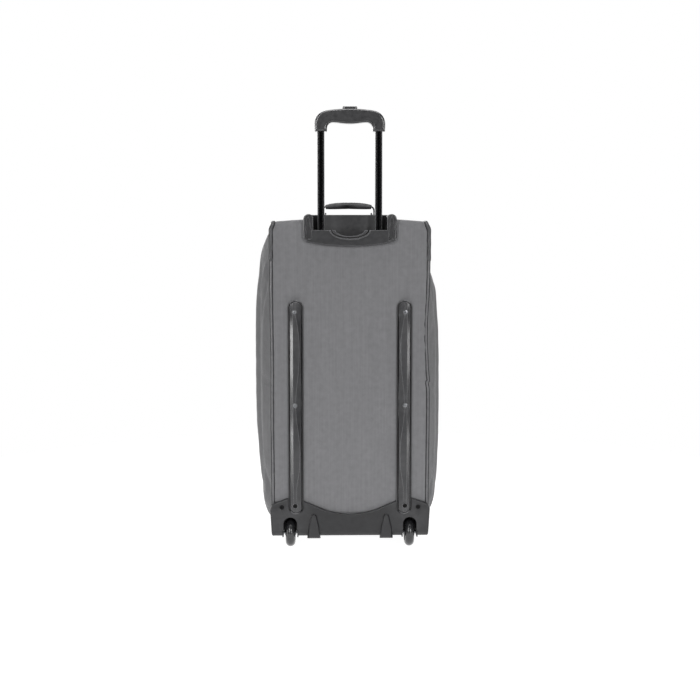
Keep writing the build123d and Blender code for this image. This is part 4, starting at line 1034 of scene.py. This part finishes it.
turn = np.linspace(0, math.pi / 2, 8)
corner = np.stack([STRAP_X - STRAP_BEND + STRAP_BEND * np.sin(turn), 0 * turn,
                   BEND_Z + STRAP_BEND * np.cos(turn)], 1)
drop = [(STRAP_X, 0, z) for z in np.linspace(BEND_Z - 1 * MM, PIN_Z - 1.5 * MM, 5)]
right_half = np.concatenate([corner, drop])
level_run = [(x, 0, GRIP_Z) for x in np.linspace(-STRAP_X + STRAP_BEND, STRAP_X - STRAP_BEND, 22)[1:-1]]
strap_path = np.concatenate([(right_half * (-1, 1, 1))[::-1], level_run, right_half])
widths = EYE_WIDTH + (strap_high[1] * 2 - EYE_WIDTH) * ease((strap_path[:, 2] - PIN_Z) / (GRIP_Z - PIN_Z))
level_share = ease((strap_path[:, 2] - BEND_Z) / STRAP_BEND)
ups = np.stack([np.sign(strap_path[:, 0]) * (1 - level_share), 0 * level_share, level_share + 1e-3], 1)
strap = make("carry_strap", *sweep(strap_path, [ring(w, 3.0 * MM, 16, 6) for w in widths], ups),
             [WEBBING], "carry_handle")
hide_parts("carry_handle_straps")
top_line = grip_path + UP_Z * sections[:, :, 1].max(1)[:, None] * 0.955
rows = [(top_line[3:-3] + UP_Y * sign * 6 * MM, UP_Z) for sign in SIDES.values()]
stitches("carry_grip_stitches", rows, "carry_handle")

# -------- lining over the trolley tubes

cover_low, cover_high = box("tube_lining")
cover_depth = cover_high[1] - cover_low[1]
# (share of the half width, share of the depth) from the middle of the cover to its side
HALF_COVER = [(0.4, 1.0), (0.78, 1.0), (0.93, 0.94), (0.985, 0.72), (1, 0.35), (1, 0.0)]
COVER = [(-x, y) for x, y in HALF_COVER[::-1]] + [(0, 0.985)] + HALF_COVER
rows, count = 60, len(COVER)
points = []
for i, z in enumerate(np.linspace(cover_low[2], cover_high[2], rows)):
    full = 0.25 + 0.75 * ease(min(i, rows - 1 - i) / 3)
    points += [(x * cover_high[0], cover_low[1] + cover_depth * y * full, z) for x, y in COVER]
points = np.array(points)
deep = (points[:, 1] - cover_low[1]) / cover_depth
points[:, 1] += 1.2 * MM * ripple(points, 40 * MM, 71) * deep - 0.6 * MM * deep
faces = [(i * count + j, i * count + j + 1, (i + 1) * count + j + 1, (i + 1) * count + j)
         for i in range(rows - 1) for j in range(count - 1)]
faces += [tuple(range(count))[::-1], tuple((rows - 1) * count + j for j in range(count))]
cover = make("tube_cover", points, faces, [LINING, LINING], "bag")
turn_outward(cover, Vector((0, cover_low[1] - 200 * MM, BAG_MIDDLE.z)))
fabric_skin(cover, 1.0 * MM)
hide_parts("tube_lining")

stitches("corner_guard_stitches", guard_rows, "bag", 3.0 * MM, 0.4 * MM)

# -------- camera, light and ground

camera = bpy.data.objects.new("camera", bpy.data.cameras.new("camera"))
bpy.context.scene.collection.objects.link(camera)
camera.location = (-0.054, -2.753, 0.668)
camera.data.lens, camera.data.sensor_width = 64.3, 36
direction = Vector((0, -0.166, 0.419)) - camera.location
camera.rotation_euler = direction.to_track_quat("-Z", "Y").to_euler()
bpy.context.scene.camera = camera

GROUND = moulded_finish("ground", (140, 140, 140), (144, 144, 144), 0.7, 0.0,
                        Emission_Color=(1, 1, 1, 1), Emission_Strength=0.95)
around = [(math.cos(a), math.sin(a)) for a in np.linspace(0, 2 * math.pi, 64, False)]
ground_points = [(0, 0, 0)] + [(r * x, r * y, 0) for r in (0.7, 1.35) for x, y in around]
ground_faces = [(0, 1 + i, 1 + (i + 1) % 64) for i in range(64)]
ground_faces += [(1 + i, 65 + i, 65 + (i + 1) % 64, 1 + (i + 1) % 64) for i in range(64)]
ground = make("ground", ground_points, ground_faces, [GROUND], "bag", ride=False)

# The surroundings are white behind the bag and dimmer overhead, to the sides and towards the trolley side
OVERHEAD, TROLLEY_SIDE, SIDEWAYS = 0.3, 0.14, 0.12
world = bpy.data.worlds.new("studio")
world.use_nodes = True
sky = Nodes(world.node_tree)
aim = sky.add("ShaderNodeTexCoord", output="Generated")
level = 1.0
for value, low, high, to_low, to_high in ((sky.axis(aim, "Z"), 0.24, 0.55, 1.0, OVERHEAD),
                                          (sky.axis(aim, "Y"), -0.55, 0.75, TROLLEY_SIDE, 1.0),
                                          (sky.math("ABSOLUTE", sky.axis(aim, "X")), 0.3, 0.65, 1.0, SIDEWAYS)):
    level = sky.math("MULTIPLY", level, sky.remap(value, low, high, to_low, to_high,
                                                  interpolation_type="SMOOTHSTEP"))
background = world.node_tree.nodes["Background"].inputs
sky.fill(background["Color"], level)
sky.fill(background["Strength"], 1.0)
bpy.context.scene.world = world


def soft_light(name, place, target, size, power, sheen_only=False):
    """A rectangular lamp. One for sheen only shows in glossy surfaces without lighting the rest."""
    light = bpy.data.lights.new(name, "AREA")
    light.shape, light.size, light.size_y, light.energy = "RECTANGLE", size[0], size[1], power
    obj = bpy.data.objects.new(name, light)
    bpy.context.scene.collection.objects.link(obj)
    obj.location = place
    obj.rotation_euler = (Vector(target) - Vector(place)).to_track_quat("-Z", "Y").to_euler()
    obj.visible_diffuse = not sheen_only


soft_light("top", (0, 0, 2.7), (0, 0, 0), (2.4, 2.4), 28)
soft_light("key", (-1.15, -2.7, 1.5), (0, 0, 0.45), (0.4, 1.6), 36)
soft_light("fill", (1.25, -2.7, 1.1), (0, 0, 0.45), (0.35, 1.6), 31)
soft_light("behind", (-0.8, 2.6, 1.6), (0, 0, 0.4), (1.2, 1.4), 16)
soft_light("left_strip", (-2.2, -0.05, 0.7), (0, -0.15, 0.45), (0.8, 1.8), 50, sheen_only=True)
soft_light("right_strip", (2.2, 0.15, 0.7), (0, -0.15, 0.45), (0.4, 1.8), 20, sheen_only=True)
soft_light("top_strip", (0, -0.7, 2.5), (0, -0.15, 0.6), (2.2, 0.3), 16, sheen_only=True)

bpy.context.scene.view_settings.view_transform = "Standard"
bpy.context.scene.view_settings.look = "None"
